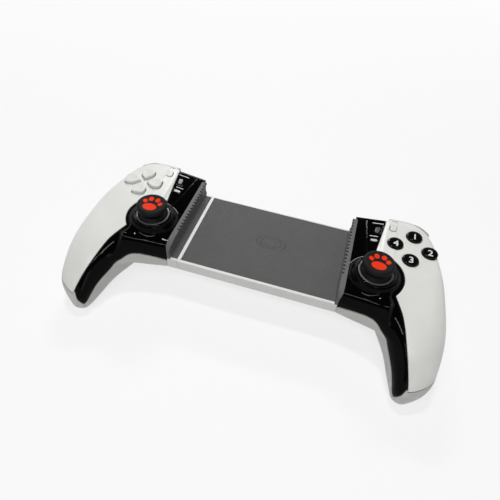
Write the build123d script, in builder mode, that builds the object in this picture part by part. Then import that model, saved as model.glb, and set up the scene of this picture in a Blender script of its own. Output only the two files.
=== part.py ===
import os
from math import cos, radians, sin, sqrt

from build123d import *

os.makedirs("parts", exist_ok=True)

# Portable game controller: two handles on a telescopic tray that grips a phone
# X runs along the tray, Y points away from the player and Z is up
# The origin is the middle of the mat that the phone lies on
# Sizes are in millimetres; x values of a handle are counted outwards from its jaw

# Overall sizes
jaw_gap = 114.0  # between the two jaws when the tray is closed
stretch = 80.0  # how far the left handle pulls out, up to the stop pegs
tray_depth = 71.6
tray_height = 8.5
face_height = 14.4  # flat top of the handles above the mat
wall = 2.2  # thickness of every casing

# Clearances
button_gap = 0.25  # round a button in its hole
running_gap = 0.05  # radial, round a pin or a shaft
seat_gap = 0.2  # between a moving piece and its stop

jaw_x = jaw_gap / 2
tray_front = -tray_depth / 2

# Form of a handle, front to back: depth, inner side, outer side, top, bottom, widest level,
# and the width of the rounding at the inner and the outer side
handle_sections = [
    (45.2, 24.6, 46.5, 12.6, -8.0, 2.0, 4.0, 7.0),
    (40.5, 21.4, 52.6, 14.1, -10.6, 2.0, 6.0, 8.0),
    (31.0, 19.5, 59.0, face_height, -13.5, 1.0, 6.0, 7.0),
    (15.0, 18.5, 63.5, face_height, -15.0, 0.0, 6.0, 7.0),
    (0.0, 18.5, 66.8, face_height, -16.0, -1.0, 6.0, 8.0),
    (-18.0, 21.6, 69.1, 13.7, -18.5, -2.0, 8.0, 12.0),
    (-34.0, 28.0, 70.6, 11.0, -23.2, -4.0, 11.0, 16.0),
    (-48.0, 35.8, 70.6, 6.8, -28.4, -9.0, 14.0, 17.0),
    (-60.0, 41.0, 69.2, 0.4, -32.0, -15.0, 11.0, 15.0),
    (-70.0, 44.8, 64.3, -8.4, -32.6, -18.5, 7.0, 11.5),
    (-75.0, 47.8, 57.2, -14.6, -28.6, -21.5, 3.6, 5.0),
    (-77.0, 51.0, 54.0, -18.4, -26.0, -22.8, 1.0, 1.0),
]
roundness = 0.66  # of the curved quarters, where 0.55 is an ellipse

# Bridge between the jaw and the handle's round body
pad_thickness = 2.0
bridge_back = 41.5
bridge_width = 29.0
bridge_top = 10.6  # at the jaw
bridge_rise = 3.6  # over the width of the bridge
bridge_lean = 5.7  # the front edge comes forward by this over the width
bridge_roll = 11.0  # depth of the rounding at the front

# Buttons and what lies under them
board_z = 2.4
board_thickness = 1.2
board_top = board_z + board_thickness
cluster_x = 43.0
cluster_y = 17.4
cluster_pitch = 11.7
cluster_turn = -4.0  # degrees, so that the top button stands further out
button_radius = 5.35
button_travel = 1.2
button_top = face_height + 1.5
key_top = face_height + 2.2
collar_z = face_height - wall - 0.9  # underside of the collars round the button holes
flange_width = 0.6
flange_thickness = 1.2
membrane_thickness = 0.8
dome_height = 1.0
button_bottom = board_top + membrane_thickness + dome_height + button_travel + 0.3

# Thumb stick
stick_x = 20.0
stick_y = -15.5
pivot_z = board_top + 4.8
cap_radius = 10.3
cap_top = 27.4 - pivot_z  # heights of the cap are counted from the pivot
cap_bottom = cap_top - 3.6
dome_radius = 13.4
dome_wall = 1.3
stick_tilt = 15.0
stick_click = 0.5
shaft_radius = 1.6
rim_z = 18.4
rim_radius = 14.2
rim_base_radius = 16.2
rim_base_z = 12.6
rim_floor = 10.0
ring_outer = 11.4
ring_inner = 10.1
ring_thickness = 0.8

# Shoulder button and trigger
trigger_left = 28.0
trigger_width = 20.0
trigger_pivot_y = 36.0
trigger_pivot_z = -3.6
trigger_hub = 3.0
pin_radius = 1.2
trigger_low = -31.6
shoulder_low = 3.4
shoulder_high = 10.4
shoulder_travel = 1.2

# Screws: places as x and y, and the level of the joint between the two posts of the grip screw
head_radius = 2.3
head_height = 1.6
screw_radius = 0.9
post_radius = 2.9
seat_depth = 5.6  # from the joint down to the screw's head
board_screws = [(9.0, 30.0), (7.3, tray_front + 7.8), (58.5, -9.0)]
grip_screw = (50.0, -50.0)
grip_joint_z = -9.0


def level(z):
    """Horizontal plane at height z, with its origin at the jaw."""
    return Plane((jaw_x, 0, z))


def section(y):
    """Upright plane across the handle at depth y: local X outwards, local Y up."""
    return Plane(origin=(jaw_x, y, 0), x_dir=(1, 0, 0), z_dir=(0, -1, 0))


def side(x):
    """Upright plane along the handle, x from the jaw: local X backwards, local Y up."""
    return Plane(origin=(jaw_x + x, 0, 0), x_dir=(0, 1, 0), z_dir=(1, 0, 0))


def keep(piece, name):
    """Label a finished piece and write it under its name."""
    piece.label = name
    export_step(piece, f"parts/{name}.step")


def keep_mirrored(piece, name):
    """Write the mirror image of a right-hand piece as a piece of the left handle."""
    keep(mirror(piece, about=Plane.YZ), name)


def keep_pair(piece, name):
    """Write a right-hand piece and its mirror image."""
    keep(piece, f"right_{name}")
    keep_mirrored(piece, f"left_{name}")


def bezier_quarter(start, end, first_flat):
    """Quarter of a rounding from start to end, level at its start or at its end."""
    (x0, z0), (x1, z1) = start, end
    if first_flat:
        return Bezier(start, (x0 + roundness * (x1 - x0), z0), (x1, z1 - roundness * (z1 - z0)), end)
    return Bezier(start, (x0, z0 + roundness * (z1 - z0)), (x1 - roundness * (x1 - x0), z1), end)


def round_body(inset):
    """The handle's long rounded body, drawn inwards by inset."""
    last = len(handle_sections) - 1
    with BuildPart() as body:
        for index, station in enumerate(handle_sections):
            y, inner, outer, top, bottom, middle, inner_round, outer_round = station
            flat_start = inner + inner_round
            flat_end = outer - outer_round
            low = bottom + inset
            high = top - inset
            near = inner + inset
            far = outer - inset
            if index == 0:
                y = y - inset
            if index == last:
                y, near, far, low, high = y + inset, inner, outer, bottom, top
            with BuildSketch(section(y)):
                with BuildLine():
                    Line((flat_start, high), (flat_end, high))
                    bezier_quarter((flat_end, high), (far, middle), True)
                    bezier_quarter((far, middle), (flat_end, low), False)
                    Line((flat_end, low), (flat_start, low))
                    bezier_quarter((flat_start, low), (near, middle), True)
                    bezier_quarter((near, middle), (flat_start, high), False)
                make_face()
        loft()
    return body.part


def bridge_profile(front, top, back, bottom):
    """Side outline of the bridge: flat on top, rolled down at the front."""
    lip = bottom + tray_height - 1.0
    Line((back, bottom), (back, top))
    Line((back, top), (front + bridge_roll, top))
    bezier_quarter((front + bridge_roll, top), (front, lip), True)
    Line((front, lip), (front, bottom))
    Line((front, bottom), (back, bottom))


def bridge(inset):
    """The block that joins the jaw to the round body, drawn inwards by inset."""
    with BuildPart() as block:
        for share in (0, 1):
            x = pad_thickness + inset + share * (bridge_width - pad_thickness - inset)
            reach = (x - pad_thickness) / (bridge_width - pad_thickness)
            with BuildSketch(side(x)):
                with BuildLine():
                    bridge_profile(
                        tray_front - reach * bridge_lean + inset,
                        bridge_top + reach * bridge_rise - inset,
                        bridge_back - inset,
                        -tray_height + inset,
                    )
                make_face()
        loft(ruled=True)
    return block.part


def handle_form(inset):
    """Round body and bridge as one solid."""
    with BuildPart() as form:
        add(round_body(inset))
        add(bridge(inset))
    return form.part


outer_form = handle_form(0)
inner_form = handle_form(wall)

with BuildPart() as shell:
    add(outer_form)
    add(inner_form, mode=Mode.SUBTRACT)

# Border between the white cover and the black trim, seen from above
border_back = (23.6, 41.5)
border_corner = (19.0, 6.2)
border_center = (20.0, -13.8)
border_radius = 19.6
border_fork_angle = -40
border_fork = (
    border_center[0] + border_radius * cos(radians(border_fork_angle)),
    border_center[1] + border_radius * sin(radians(border_fork_angle)),
)
border_grip = [(41.4, -39.3), (47.2, -57.6), (52.7, -73.0), (55.5, -82.0)]

# Lower edges, seen from the side: of the white cover and of the black trim
cover_edge = [
    (60.0, 3.2),
    (30.0, 1.8),
    (0.0, -1.2),
    (-30.0, -3.6),
    (-52.0, -7.0),
    (-68.0, -11.5),
    (-86.0, -18.0),
]
trim_edge_z = -3.6
trim_edge = [
    (-41.0, 1.8),
    (-45.5, -2.6),
    (-50.0, -7.2),
    (-56.0, -10.0),
    (-61.5, -12.6),
    (-68.0, -17.6),
    (-73.0, -22.0),
    (-80.0, -28.5),
]
trim_tip_corner = (52.1, -12.9)  # the slanted end of the trim on the tip, seen from the front
trim_tip_foot = (46.6, -24.8)
above_all = 40.0  # further up or down than any part of a handle
beyond_front = -95.0
beyond_side = 95.0
beyond_back = 70.0
border_run_out = (border_back[0] + 2.3, border_back[1] + 19.0)


def border_line():
    """The border from the back edge, round the stick and down the grip."""
    Line(border_run_out, border_back)
    Line(border_back, border_corner)
    arc_rise = sqrt(border_radius**2 - (border_corner[0] - border_center[0]) ** 2)
    arc_top = (border_corner[0], border_center[1] + arc_rise)
    Line(border_corner, arc_top)
    arc_middle = (
        border_center[0] + border_radius * cos(radians(20)),
        border_center[1] + border_radius * sin(radians(20)),
    )
    ThreePointArc(arc_top, arc_middle, border_fork)
    Spline(border_fork, *border_grip)


with BuildPart() as cover_zone:
    with BuildSketch(level(-above_all)):
        with BuildLine():
            border_line()
            Polyline(
                border_grip[-1],
                (border_grip[-1][0], beyond_front),
                (beyond_side, beyond_front),
                (beyond_side, beyond_back),
                (border_run_out[0], beyond_back),
                border_run_out,
            )
        make_face()
    extrude(amount=2 * above_all)
    with BuildSketch(side(-10)):
        with BuildLine():
            Spline(*cover_edge)
            Polyline(cover_edge[-1], (cover_edge[-1][0], above_all), (60, above_all), cover_edge[0])
        make_face()
    extrude(amount=120, mode=Mode.INTERSECT)

with BuildPart() as trim_zone:
    with BuildSketch(level(-above_all)):
        with BuildLine():
            border_line()
            Polyline(
                border_grip[-1],
                (border_grip[-1][0], beyond_front),
                (-10, beyond_front),
                (-10, border_run_out[1]),
                border_run_out,
            )
        make_face()
    extrude(amount=2 * above_all)
    with BuildSketch(side(-10)):
        with BuildLine():
            Line((60, trim_edge_z), (tray_front + 1.0, trim_edge_z))
            Spline((tray_front + 1.0, trim_edge_z), *trim_edge)
            Polyline(trim_edge[-1], (trim_edge[-1][0], above_all), (60, above_all), (60, trim_edge_z))
        make_face()
    extrude(amount=120, mode=Mode.INTERSECT)
    with BuildSketch(section(-60)):
        with BuildLine():
            Polyline(
                trim_tip_corner,
                trim_tip_foot,
                (trim_tip_foot[0], -above_all),
                (beyond_side, -above_all),
                (beyond_side, trim_tip_corner[1]),
                trim_tip_corner,
            )
        make_face()
    extrude(amount=40, mode=Mode.SUBTRACT)

# Trigger well: an opening at the back of the handle with its own bulkhead and cheeks
well_gap = 0.5
cheek = 2.0
well_left = trigger_left - well_gap
well_right = trigger_left + trigger_width + well_gap
well_front = trigger_pivot_y - trigger_hub - well_gap
well_top = trigger_pivot_z + trigger_hub + well_gap
well_center = (well_left + well_right) / 2
well_roof = 1.4
cheek_back = handle_sections[0][0] - 0.6

with BuildPart() as well:
    with BuildSketch(level(-above_all)):
        with Locations((well_center, (well_front + beyond_back) / 2)):
            Rectangle(well_right - well_left, beyond_back - well_front)
    extrude(amount=above_all + well_top)

with BuildPart() as well_walls:
    with BuildSketch(level(-above_all)):
        with Locations((well_center, (well_front - cheek + cheek_back) / 2)):
            Rectangle(well_right - well_left + 2 * cheek, cheek_back - well_front + cheek)
    extrude(amount=above_all + well_top + well_roof)
    add(outer_form, mode=Mode.INTERSECT)
    add(well.part, mode=Mode.SUBTRACT)
    with BuildSketch(side(0)):
        with Locations((trigger_pivot_y, trigger_pivot_z)):
            Circle(pin_radius + running_gap)
    extrude(amount=90, mode=Mode.SUBTRACT)


def posts(places, low, high):
    """Upright round posts at the given places, cut to the outer form."""
    with BuildPart() as group:
        with BuildSketch(level(low)):
            with Locations(*places):
                Circle(post_radius)
        extrude(amount=high - low)
        add(outer_form, mode=Mode.INTERSECT)
    return group.part


def screw_holes(places, joint_z, thread_top):
    """The well for the head, the hole for the shank and the hole for the thread."""
    with BuildPart() as group:
        with BuildSketch(level(-above_all)):
            with Locations(*places):
                Circle(head_radius + seat_gap)
        extrude(amount=above_all + joint_z - seat_depth)
        with BuildSketch(level(-above_all)):
            with Locations(*places):
                Circle(screw_radius + running_gap)
        extrude(amount=above_all + thread_top + 0.5)
    return group.part


board_thread_top = board_top + 5.0
grip_thread_top = grip_joint_z + 5.0
all_screw_holes = [
    screw_holes(board_screws, board_z, board_thread_top),
    screw_holes([grip_screw], grip_joint_z, grip_thread_top),
]

# Tongue that carries the tray in the handle, and its slot
tongue_width = 40.0
tongue_length = 9.0
tongue_low = -7.4
tongue_high = -4.8


def tongue_block(grow):
    """The tongue at the right jaw, larger by grow on every side."""
    with BuildPart() as block:
        with BuildSketch(level(tongue_low - grow)):
            with Locations((pad_thickness + tongue_length / 2, 0)):
                Rectangle(tongue_length + 2 * grow, tongue_width + 2 * grow)
        extrude(amount=tongue_high - tongue_low + 2 * grow)
    return block.part


# Back shell: the light lower casing of a handle
with BuildPart() as back_shell:
    add(shell.part)
    add(cover_zone.part, mode=Mode.SUBTRACT)
    add(trim_zone.part, mode=Mode.SUBTRACT)
    add(well.part, mode=Mode.SUBTRACT)
    add(well_walls.part)
    add(posts(board_screws, -above_all, board_z))
    add(posts([grip_screw], -above_all, grip_joint_z))
    for holes in all_screw_holes:
        add(holes, mode=Mode.SUBTRACT)
    add(tongue_block(running_gap), mode=Mode.SUBTRACT)
    with BuildSketch(side(well_left - cheek)):
        with Locations((trigger_pivot_y, trigger_pivot_z)):
            Circle(pin_radius + running_gap)
    extrude(amount=well_right - well_left + 2 * cheek, mode=Mode.SUBTRACT)

keep_pair(back_shell.part, "back_shell")

# Socket for the charging lead, in the back wall of the right handle
socket_x = 13.0
socket_width = 8.9
socket_height = 3.2
socket_depth = 7.3
socket_wall = 0.35
socket_blade = (6.6, 0.7)
socket_back = bridge_back - 0.3
socket_z = board_top + socket_height / 2


def socket_outline(grow):
    """Slot shape of the socket, larger by grow all round."""
    with Locations((socket_x, socket_z)):
        SlotOverall(socket_width + 2 * grow, socket_height + 2 * grow)


# Black trim: strip beside the jaw, raised rim of the stick and inner side of the grip
with BuildPart() as trim:
    add(shell.part)
    add(trim_zone.part, mode=Mode.INTERSECT)
    with BuildSketch(Plane(origin=(jaw_x + stick_x, stick_y, 0), x_dir=(1, 0, 0), z_dir=(0, -1, 0))):
        with BuildLine():
            Polyline((0, rim_floor), (0, rim_z), (rim_radius, rim_z))
            Bezier(
                (rim_radius, rim_z),
                (rim_radius + 0.4, rim_z - 3.6),
                (rim_base_radius - 1.0, rim_base_z + 1.2),
                (rim_base_radius, rim_base_z),
            )
            Polyline((rim_base_radius, rim_base_z), (rim_base_radius, rim_floor), (0, rim_floor))
        make_face()
    revolve(axis=Axis((jaw_x + stick_x, stick_y, 0), (0, 0, 1)))
    with Locations((jaw_x + stick_x, stick_y, pivot_z)):
        Sphere(dome_radius + stick_click + 0.1, mode=Mode.SUBTRACT)
    with Locations((jaw_x + stick_x, stick_y, rim_z)):
        Cylinder(ring_inner - 0.2, 12, mode=Mode.SUBTRACT)
        Cylinder(ring_outer + 0.05, 2 * ring_thickness, mode=Mode.SUBTRACT)
    add(posts(board_screws[:2], board_top, bridge_top))
    for holes in all_screw_holes:
        add(holes, mode=Mode.SUBTRACT)

# Dark function button beside the border, and the status lens in front of it
function_x = 18.3
function_y = 29.0
function_size = (3.6, 6.2)
lens_x = 16.9
lens_y = 18.9
lens_size = (4.8, 2.1)
strip_top = 13.0
border_turn = -7  # the strip's pieces lie along the border


def small_button(x, y, size, grow):
    """Sketch of a small rounded button, larger by grow all round."""
    with Locations(Location((x, y, 0), (0, 0, border_turn))):
        RectangleRounded(size[0] + 2 * grow, size[1] + 2 * grow, min(size) / 2.6 + grow)


with BuildPart() as pierced_trim:
    add(trim.part)
    with BuildSketch(level(board_top)):
        small_button(function_x, function_y, function_size, button_gap)
    extrude(amount=20, mode=Mode.SUBTRACT)
    with BuildSketch(level(board_top)):
        with Locations((lens_x, lens_y)):
            SlotOverall(lens_size[0] + 2 * running_gap, lens_size[1] + 2 * running_gap)
    extrude(amount=20, mode=Mode.SUBTRACT)

keep_mirrored(pierced_trim.part, "left_trim")

with BuildPart() as socket_trim:
    add(pierced_trim.part)
    with BuildSketch(section(bridge_back + 5)):
        socket_outline(0.4)
    extrude(amount=15, mode=Mode.SUBTRACT)

keep(socket_trim.part, "right_trim")


# White cover: the shell outside the border, with collars round its button holes
menu_x = 28.8
menu_y = 33.2
menu_size = (4.4, 6.2)
post_top = face_height - wall / 2


def around_cluster(turn):
    """Centre of the face button or the pad key that lies at the angle turn."""
    return (
        cluster_x + cluster_pitch * cos(radians(turn + cluster_turn)),
        cluster_y + cluster_pitch * sin(radians(turn + cluster_turn)),
    )


cluster_places = [around_cluster(turn) for turn in (0, 90, 180, 270)]

# Keys of the direction pad point at the middle of the cluster
key_point = 3.4  # distances from the middle of the cluster
key_shoulder = 8.4
key_end = 13.9
key_half_width = 4.9


def pad_key(turn, grow):
    """Sketch of one pad key, turned about the middle of the cluster, larger by grow."""
    slant = grow * sqrt(2)
    with Locations(Location((cluster_x, cluster_y, 0), (0, 0, turn + cluster_turn))):
        with BuildSketch(mode=Mode.PRIVATE) as outline:
            with BuildLine():
                Polyline(
                    (key_point - slant, 0),
                    (key_shoulder - slant + grow, key_half_width + grow),
                    (key_end + grow, key_half_width + grow),
                    (key_end + grow, -key_half_width - grow),
                    (key_shoulder - slant + grow, -key_half_width - grow),
                    (key_point - slant, 0),
                )
            make_face()
            fillet(outline.vertices().group_by(Axis.X)[-1], 2.8 + grow)
            fillet(outline.vertices().sort_by(Axis.X)[0], 1.0)
        add(outline.sketch)


shoulder_window = (36.0, 10.0)  # x and width of the opening for the shoulder button's plunger
plunger_low = 5.4
plunger_high = 9.2


def cover_blank(outline):
    """The white cover with the menu button's hole and the four holes of outline(turn, grow)."""
    with BuildPart() as blank:
        add(shell.part)
        add(cover_zone.part, mode=Mode.INTERSECT)
        add(well.part, mode=Mode.SUBTRACT)
        add(posts(board_screws[2:], board_top, post_top))
        add(posts([grip_screw], grip_joint_z, post_top))
        for turn in (0, 90, 180, 270):
            with BuildSketch(level(collar_z)):
                outline(turn, button_gap + 1.4)
            extrude(amount=face_height - wall / 2 - collar_z)
            add(outer_form, mode=Mode.INTERSECT)
        with BuildSketch(level(collar_z)):
            small_button(menu_x, menu_y, menu_size, button_gap + 1.4)
        extrude(amount=face_height - wall / 2 - collar_z)
        for turn in (0, 90, 180, 270):
            with BuildSketch(level(board_top)):
                outline(turn, flange_width + seat_gap)
            extrude(amount=collar_z - board_top, mode=Mode.SUBTRACT)
            with BuildSketch(level(board_top)):
                outline(turn, button_gap)
            extrude(amount=20, mode=Mode.SUBTRACT)
        with BuildSketch(level(board_top)):
            small_button(menu_x, menu_y, menu_size, button_gap)
        extrude(amount=20, mode=Mode.SUBTRACT)
        with BuildSketch(section(bridge_back + 10)):
            with Locations((shoulder_window[0], (plunger_low + plunger_high) / 2)):
                Rectangle(shoulder_window[1] + 2 * seat_gap, plunger_high - plunger_low + 2 * seat_gap)
        extrude(amount=14, mode=Mode.SUBTRACT)
        for holes in all_screw_holes:
            add(holes, mode=Mode.SUBTRACT)
    return blank.part


def round_button(turn, grow):
    """Sketch of one face button, larger by grow."""
    with Locations(around_cluster(turn)):
        Circle(button_radius + grow)


keep(cover_blank(round_button), "right_front_cover")
keep_mirrored(cover_blank(pad_key), "left_front_cover")

# Face buttons, with a flange that stops them under the collars
flange_top = collar_z - seat_gap
for turn, name in ((0, "right"), (90, "top"), (180, "left"), (270, "bottom")):
    with BuildPart() as face_button:
        with BuildSketch(level(button_bottom)):
            round_button(turn, 0)
        extrude(amount=button_top - button_bottom)
        fillet(face_button.faces().sort_by(Axis.Z)[-1].edges(), 0.7)
        with BuildSketch(level(flange_top - flange_thickness)):
            round_button(turn, flange_width)
        extrude(amount=flange_thickness)
    keep(face_button.part, f"face_button_{name}")

# Keys of the direction pad, mirrored, so the outer one is the left key
for turn, name in ((0, "left"), (90, "up"), (180, "right"), (270, "down")):
    with BuildPart() as pad_part:
        with BuildSketch(level(button_bottom)):
            pad_key(turn, 0)
        extrude(amount=key_top - button_bottom)
        fillet(pad_part.faces().sort_by(Axis.Z)[-1].edges(), 0.9)
        with BuildSketch(level(flange_top - flange_thickness)):
            pad_key(turn, flange_width)
        extrude(amount=flange_thickness)
    keep_mirrored(pad_part.part, f"dpad_{name}")


def strip_button(x, y, size, top, stop):
    """Small rounded button with a flange whose top is at stop."""
    with BuildPart() as button:
        with BuildSketch(level(button_bottom)):
            small_button(x, y, size, 0)
        extrude(amount=top - button_bottom)
        fillet(button.faces().sort_by(Axis.Z)[-1].edges(), 0.5)
        with BuildSketch(level(stop - flange_thickness)):
            small_button(x, y, size, flange_width)
        extrude(amount=flange_thickness)
    return button.part


strip_underside = bridge_top + bridge_rise * (function_x - 4) / bridge_width - wall
keep_pair(strip_button(menu_x, menu_y, menu_size, face_height + 0.8, flange_top), "menu_button")
keep_pair(
    strip_button(function_x, function_y, function_size, strip_top + 0.8, strip_underside - seat_gap),
    "function_button",
)

# Status lens, a light guide from the board up to the strip
with BuildPart() as status_lens:
    with BuildSketch(level(board_top)):
        with Locations((lens_x, lens_y)):
            SlotOverall(*lens_size)
    extrude(amount=strip_top + 0.1 - board_top)
keep_pair(status_lens.part, "status_lens")


# Rubber membrane with a dome under each button of a cluster
def membrane(foot_radius):
    """Plate on the board with four domes, foot_radius wide at the foot."""
    with BuildPart() as sheet:
        with BuildSketch(level(board_top)):
            with Locations(*cluster_places):
                Circle(foot_radius + 1.6)
            with Locations((cluster_x, cluster_y)):
                Circle(cluster_pitch)
        extrude(amount=membrane_thickness)
        with BuildSketch(level(board_top + membrane_thickness)):
            with Locations(*cluster_places):
                Circle(foot_radius)
        extrude(amount=dome_height, taper=20)
    return sheet.part


keep(membrane(4.2), "face_membrane")
keep_mirrored(membrane(3.6), "dpad_membrane")

# Circuit board of a handle
board_behind_well = well_front - cheek - 0.6
board_outline = [
    (4.8, 36.5),
    (24.0, 36.5),
    (24.0, board_behind_well),
    (52.0, board_behind_well),
    (58.0, 22.0),
    (62.5, 0.0),
    (62.5, -18.0),
    (50.0, -26.0),
    (4.8, tray_front + 4.8),
    (4.8, 36.5),
]
with BuildPart() as board:
    with BuildSketch(level(board_z)) as board_sketch:
        with BuildLine():
            Polyline(*board_outline)
        make_face()
        fillet(board_sketch.vertices(), 1.5)
        with Locations(*board_screws):
            Circle(screw_radius + seat_gap, mode=Mode.SUBTRACT)
    extrude(amount=board_thickness)
keep_pair(board.part, "board")

# Charging socket on the right board
with BuildPart() as socket:
    with BuildSketch(section(socket_back)):
        socket_outline(0)
    extrude(amount=socket_depth)
    with BuildSketch(section(socket_back)):
        socket_outline(-socket_wall)
    extrude(amount=socket_depth - socket_wall, mode=Mode.SUBTRACT)
    with BuildSketch(section(socket_back - 1.2)):
        with Locations((socket_x, socket_z)):
            Rectangle(*socket_blade)
    extrude(amount=socket_depth - 1.2)
keep(socket.part, "usb_c_socket")


# Jaw pad: soft lining of the jaw, hollowed to hold the phone's edge, with teeth along its top
pad_back = 37.0
pad_rise = 0.6  # of its lip above the bridge
pad_lip_width = 3.6
pad_groove_depth = 0.9
pad_groove_radius = 10.6
tooth_pitch = 3.3
tooth_gap = 1.6
tooth_count = 17
tooth_depth = 1.3
pad_middle = (bridge_top + pad_rise) / 2

with BuildPart() as jaw_pad:
    with BuildSketch(side(0)):
        with BuildLine():
            bridge_profile(tray_front, bridge_top + pad_rise, pad_back, -tray_height)
        make_face()
    extrude(amount=pad_lip_width)
    add(outer_form, mode=Mode.SUBTRACT)
    split(bisect_by=Plane.XY)
    with BuildSketch(section(60)):
        with Locations((pad_groove_depth - pad_groove_radius, pad_middle)):
            Circle(pad_groove_radius)
    extrude(amount=120, mode=Mode.SUBTRACT)
    with BuildSketch(level(bridge_top - 1.6)):
        for tooth in range(tooth_count):
            with Locations((0, pad_back - 1.5 - tooth * tooth_pitch)):
                Rectangle(2 * tooth_depth, tooth_gap)
    extrude(amount=5, mode=Mode.SUBTRACT)
keep_pair(jaw_pad.part, "jaw_pad")

# Tray: an outer sleeve on the right handle and an inner slide on the left one
strip_width = 5.0  # part of the slide that shows beside the left jaw
lip_width = 2.0
mat_thickness = 0.8
top_plate = 1.4
floor_thickness = 1.2
end_gap = 0.2  # between the closed sleeve and the slide's shoulder
sleeve_left = -jaw_x + strip_width
side_wall = 2.0
slide_right = jaw_x - 8.0
ceiling = -mat_thickness - top_plate
floor_top = -tray_height + floor_thickness
slide_top = ceiling - seat_gap
slide_bottom = floor_top + seat_gap
spring_y = 22.0
spring_post_x = jaw_x - 5.0
spring_pin_x = -11.0
spring_post_radius = 1.2
spring_pin_radius = 1.0
stop_x = sleeve_left + 5.0
stop_y = 13.0
stop_radius = 1.5
stop_height = 1.4  # above the underside of the slide
ribbon_width = 14.0
ribbon_thickness = 0.3
ribbon_slot = (-6.3, -5.7)
mat_y = (-tray_depth / 2 + lip_width, tray_depth / 2 - 1.0)


def tray_plane(x):
    """Upright plane across the tray at x: local X backwards, local Y up."""
    return Plane(origin=(x, 0, 0), x_dir=(0, 1, 0), z_dir=(1, 0, 0))


def slab(x_range, y_range, z_range, mode=Mode.ADD):
    """Box between the given limits, in tray coordinates."""
    center = tuple((low + high) / 2 for low, high in (x_range, y_range, z_range))
    with Locations(center):
        Box(x_range[1] - x_range[0], y_range[1] - y_range[0], z_range[1] - z_range[0], mode=mode)


half_depth = tray_depth / 2
inside = half_depth - side_wall
slide_y = (-inside + seat_gap, inside - seat_gap)
ribbon_half = ribbon_width / 2 + 0.5

with BuildPart() as outer_tray:
    slab((sleeve_left, jaw_x + pad_thickness), (-half_depth, half_depth), (-tray_height, 0))
    fillet(outer_tray.edges().filter_by(Axis.X).group_by(Axis.Z)[0], 0.8)
    slab((sleeve_left, jaw_x), (-inside, inside), (-tray_height, ceiling), Mode.SUBTRACT)
    slab((sleeve_left + lip_width, jaw_x), mat_y, (-mat_thickness, 0), Mode.SUBTRACT)
    with BuildSketch(Plane.XY.offset(floor_top + 0.1)):
        with Locations((spring_post_x, spring_y), (spring_post_x, -spring_y)):
            Circle(spring_post_radius)
    extrude(amount=ceiling - floor_top - 0.1)
    add(tongue_block(0))
    slab((jaw_x, jaw_x + 20), (-ribbon_half, ribbon_half), ribbon_slot, Mode.SUBTRACT)
keep(outer_tray.part, "outer_tray")

with BuildPart() as outer_tray_floor:
    slab((sleeve_left, jaw_x - 0.1), (-inside + 0.1, inside - 0.1), (-tray_height, floor_top))
    with BuildSketch(Plane.XY.offset(floor_top - floor_thickness / 2)):
        with Locations((stop_x, stop_y), (stop_x, -stop_y)):
            Circle(stop_radius)
    extrude(amount=floor_thickness / 2 + seat_gap + stop_height)
keep(outer_tray_floor.part, "outer_tray_floor")

with BuildPart() as outer_tray_mat:
    slab((sleeve_left + lip_width, jaw_x), mat_y, (-mat_thickness, 0))
keep(outer_tray_mat.part, "outer_tray_mat")

spring_channel_floor = slide_bottom + 1.0
channel_half = 2.6
with BuildPart() as inner_tray:
    slab((-jaw_x - pad_thickness, sleeve_left - end_gap), (-half_depth, half_depth), (-tray_height, 0))
    fillet(inner_tray.edges().filter_by(Axis.X).group_by(Axis.Z)[0], 0.8)
    slab((-jaw_x, sleeve_left - end_gap), mat_y, (-mat_thickness, 0), Mode.SUBTRACT)
    slab((sleeve_left - end_gap, slide_right), slide_y, (slide_bottom, slide_top))
    for y in (spring_y, -spring_y):
        slab(
            (spring_pin_x - 3, slide_right),
            (y - channel_half, y + channel_half),
            (spring_channel_floor, slide_top),
            Mode.SUBTRACT,
        )
        with BuildSketch(Plane.XY.offset(slide_bottom)):
            with Locations((spring_pin_x, y)):
                Circle(spring_pin_radius)
        extrude(amount=slide_top - slide_bottom)
    for y in (stop_y, -stop_y):
        slab(
            (stop_x - stop_radius - seat_gap, stop_x + stop_radius + stretch + seat_gap),
            (y - stop_radius - seat_gap, y + stop_radius + seat_gap),
            (slide_bottom, slide_bottom + stop_height + seat_gap),
            Mode.SUBTRACT,
        )
    slab(
        (sleeve_left + 2, slide_right),
        (-ribbon_half, ribbon_half),
        (ribbon_slot[0], slide_top),
        Mode.SUBTRACT,
    )
    add(mirror(tongue_block(0), about=Plane.YZ, mode=Mode.PRIVATE))
    slab(
        (-jaw_x - 20, sleeve_left + 3),
        (-ribbon_half, ribbon_half),
        ribbon_slot,
        Mode.SUBTRACT,
    )
keep(inner_tray.part, "inner_tray")

with BuildPart() as inner_tray_mat:
    slab((-jaw_x, sleeve_left - end_gap - 0.4), mat_y, (-mat_thickness, -0.2))
keep(inner_tray_mat.part, "inner_tray_mat")

# Pair of tension springs that pull the handles together, in their outer form
coil_radius = 1.5
coil_hollow = 1.1
hook_wire = 0.5
hook_gap = 0.1
hook_reach = 3.0  # from the pin to the first coil
spring_z = (spring_channel_floor + slide_top) / 2
coil_start = spring_pin_x + hook_reach
coil_end = spring_post_x - hook_reach
with BuildPart() as tension_springs:
    for y in (spring_y, -spring_y):
        with BuildSketch(tray_plane(coil_start)):
            with Locations((y, spring_z)):
                Circle(coil_radius)
                Circle(coil_hollow, mode=Mode.SUBTRACT)
        extrude(amount=coil_end - coil_start)
        with BuildSketch(Plane.XY.offset(spring_z - hook_wire / 2)):
            for x, pin, tail in (
                (spring_pin_x, spring_pin_radius + hook_gap, 1.0),
                (spring_post_x, spring_post_radius + hook_gap, -1.0),
            ):
                with Locations((x, y)):
                    Circle(pin + hook_wire)
                    Circle(pin, mode=Mode.SUBTRACT)
                near = x + tail * (pin + hook_wire / 2)
                far = x + tail * (hook_reach + 0.4)
                with Locations(((near + far) / 2, y + coil_radius - hook_wire / 2 - 0.1)):
                    Rectangle(abs(far - near) + 1.2, hook_wire)
        extrude(amount=hook_wire)
keep(tension_springs.part, "tension_springs")

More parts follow.
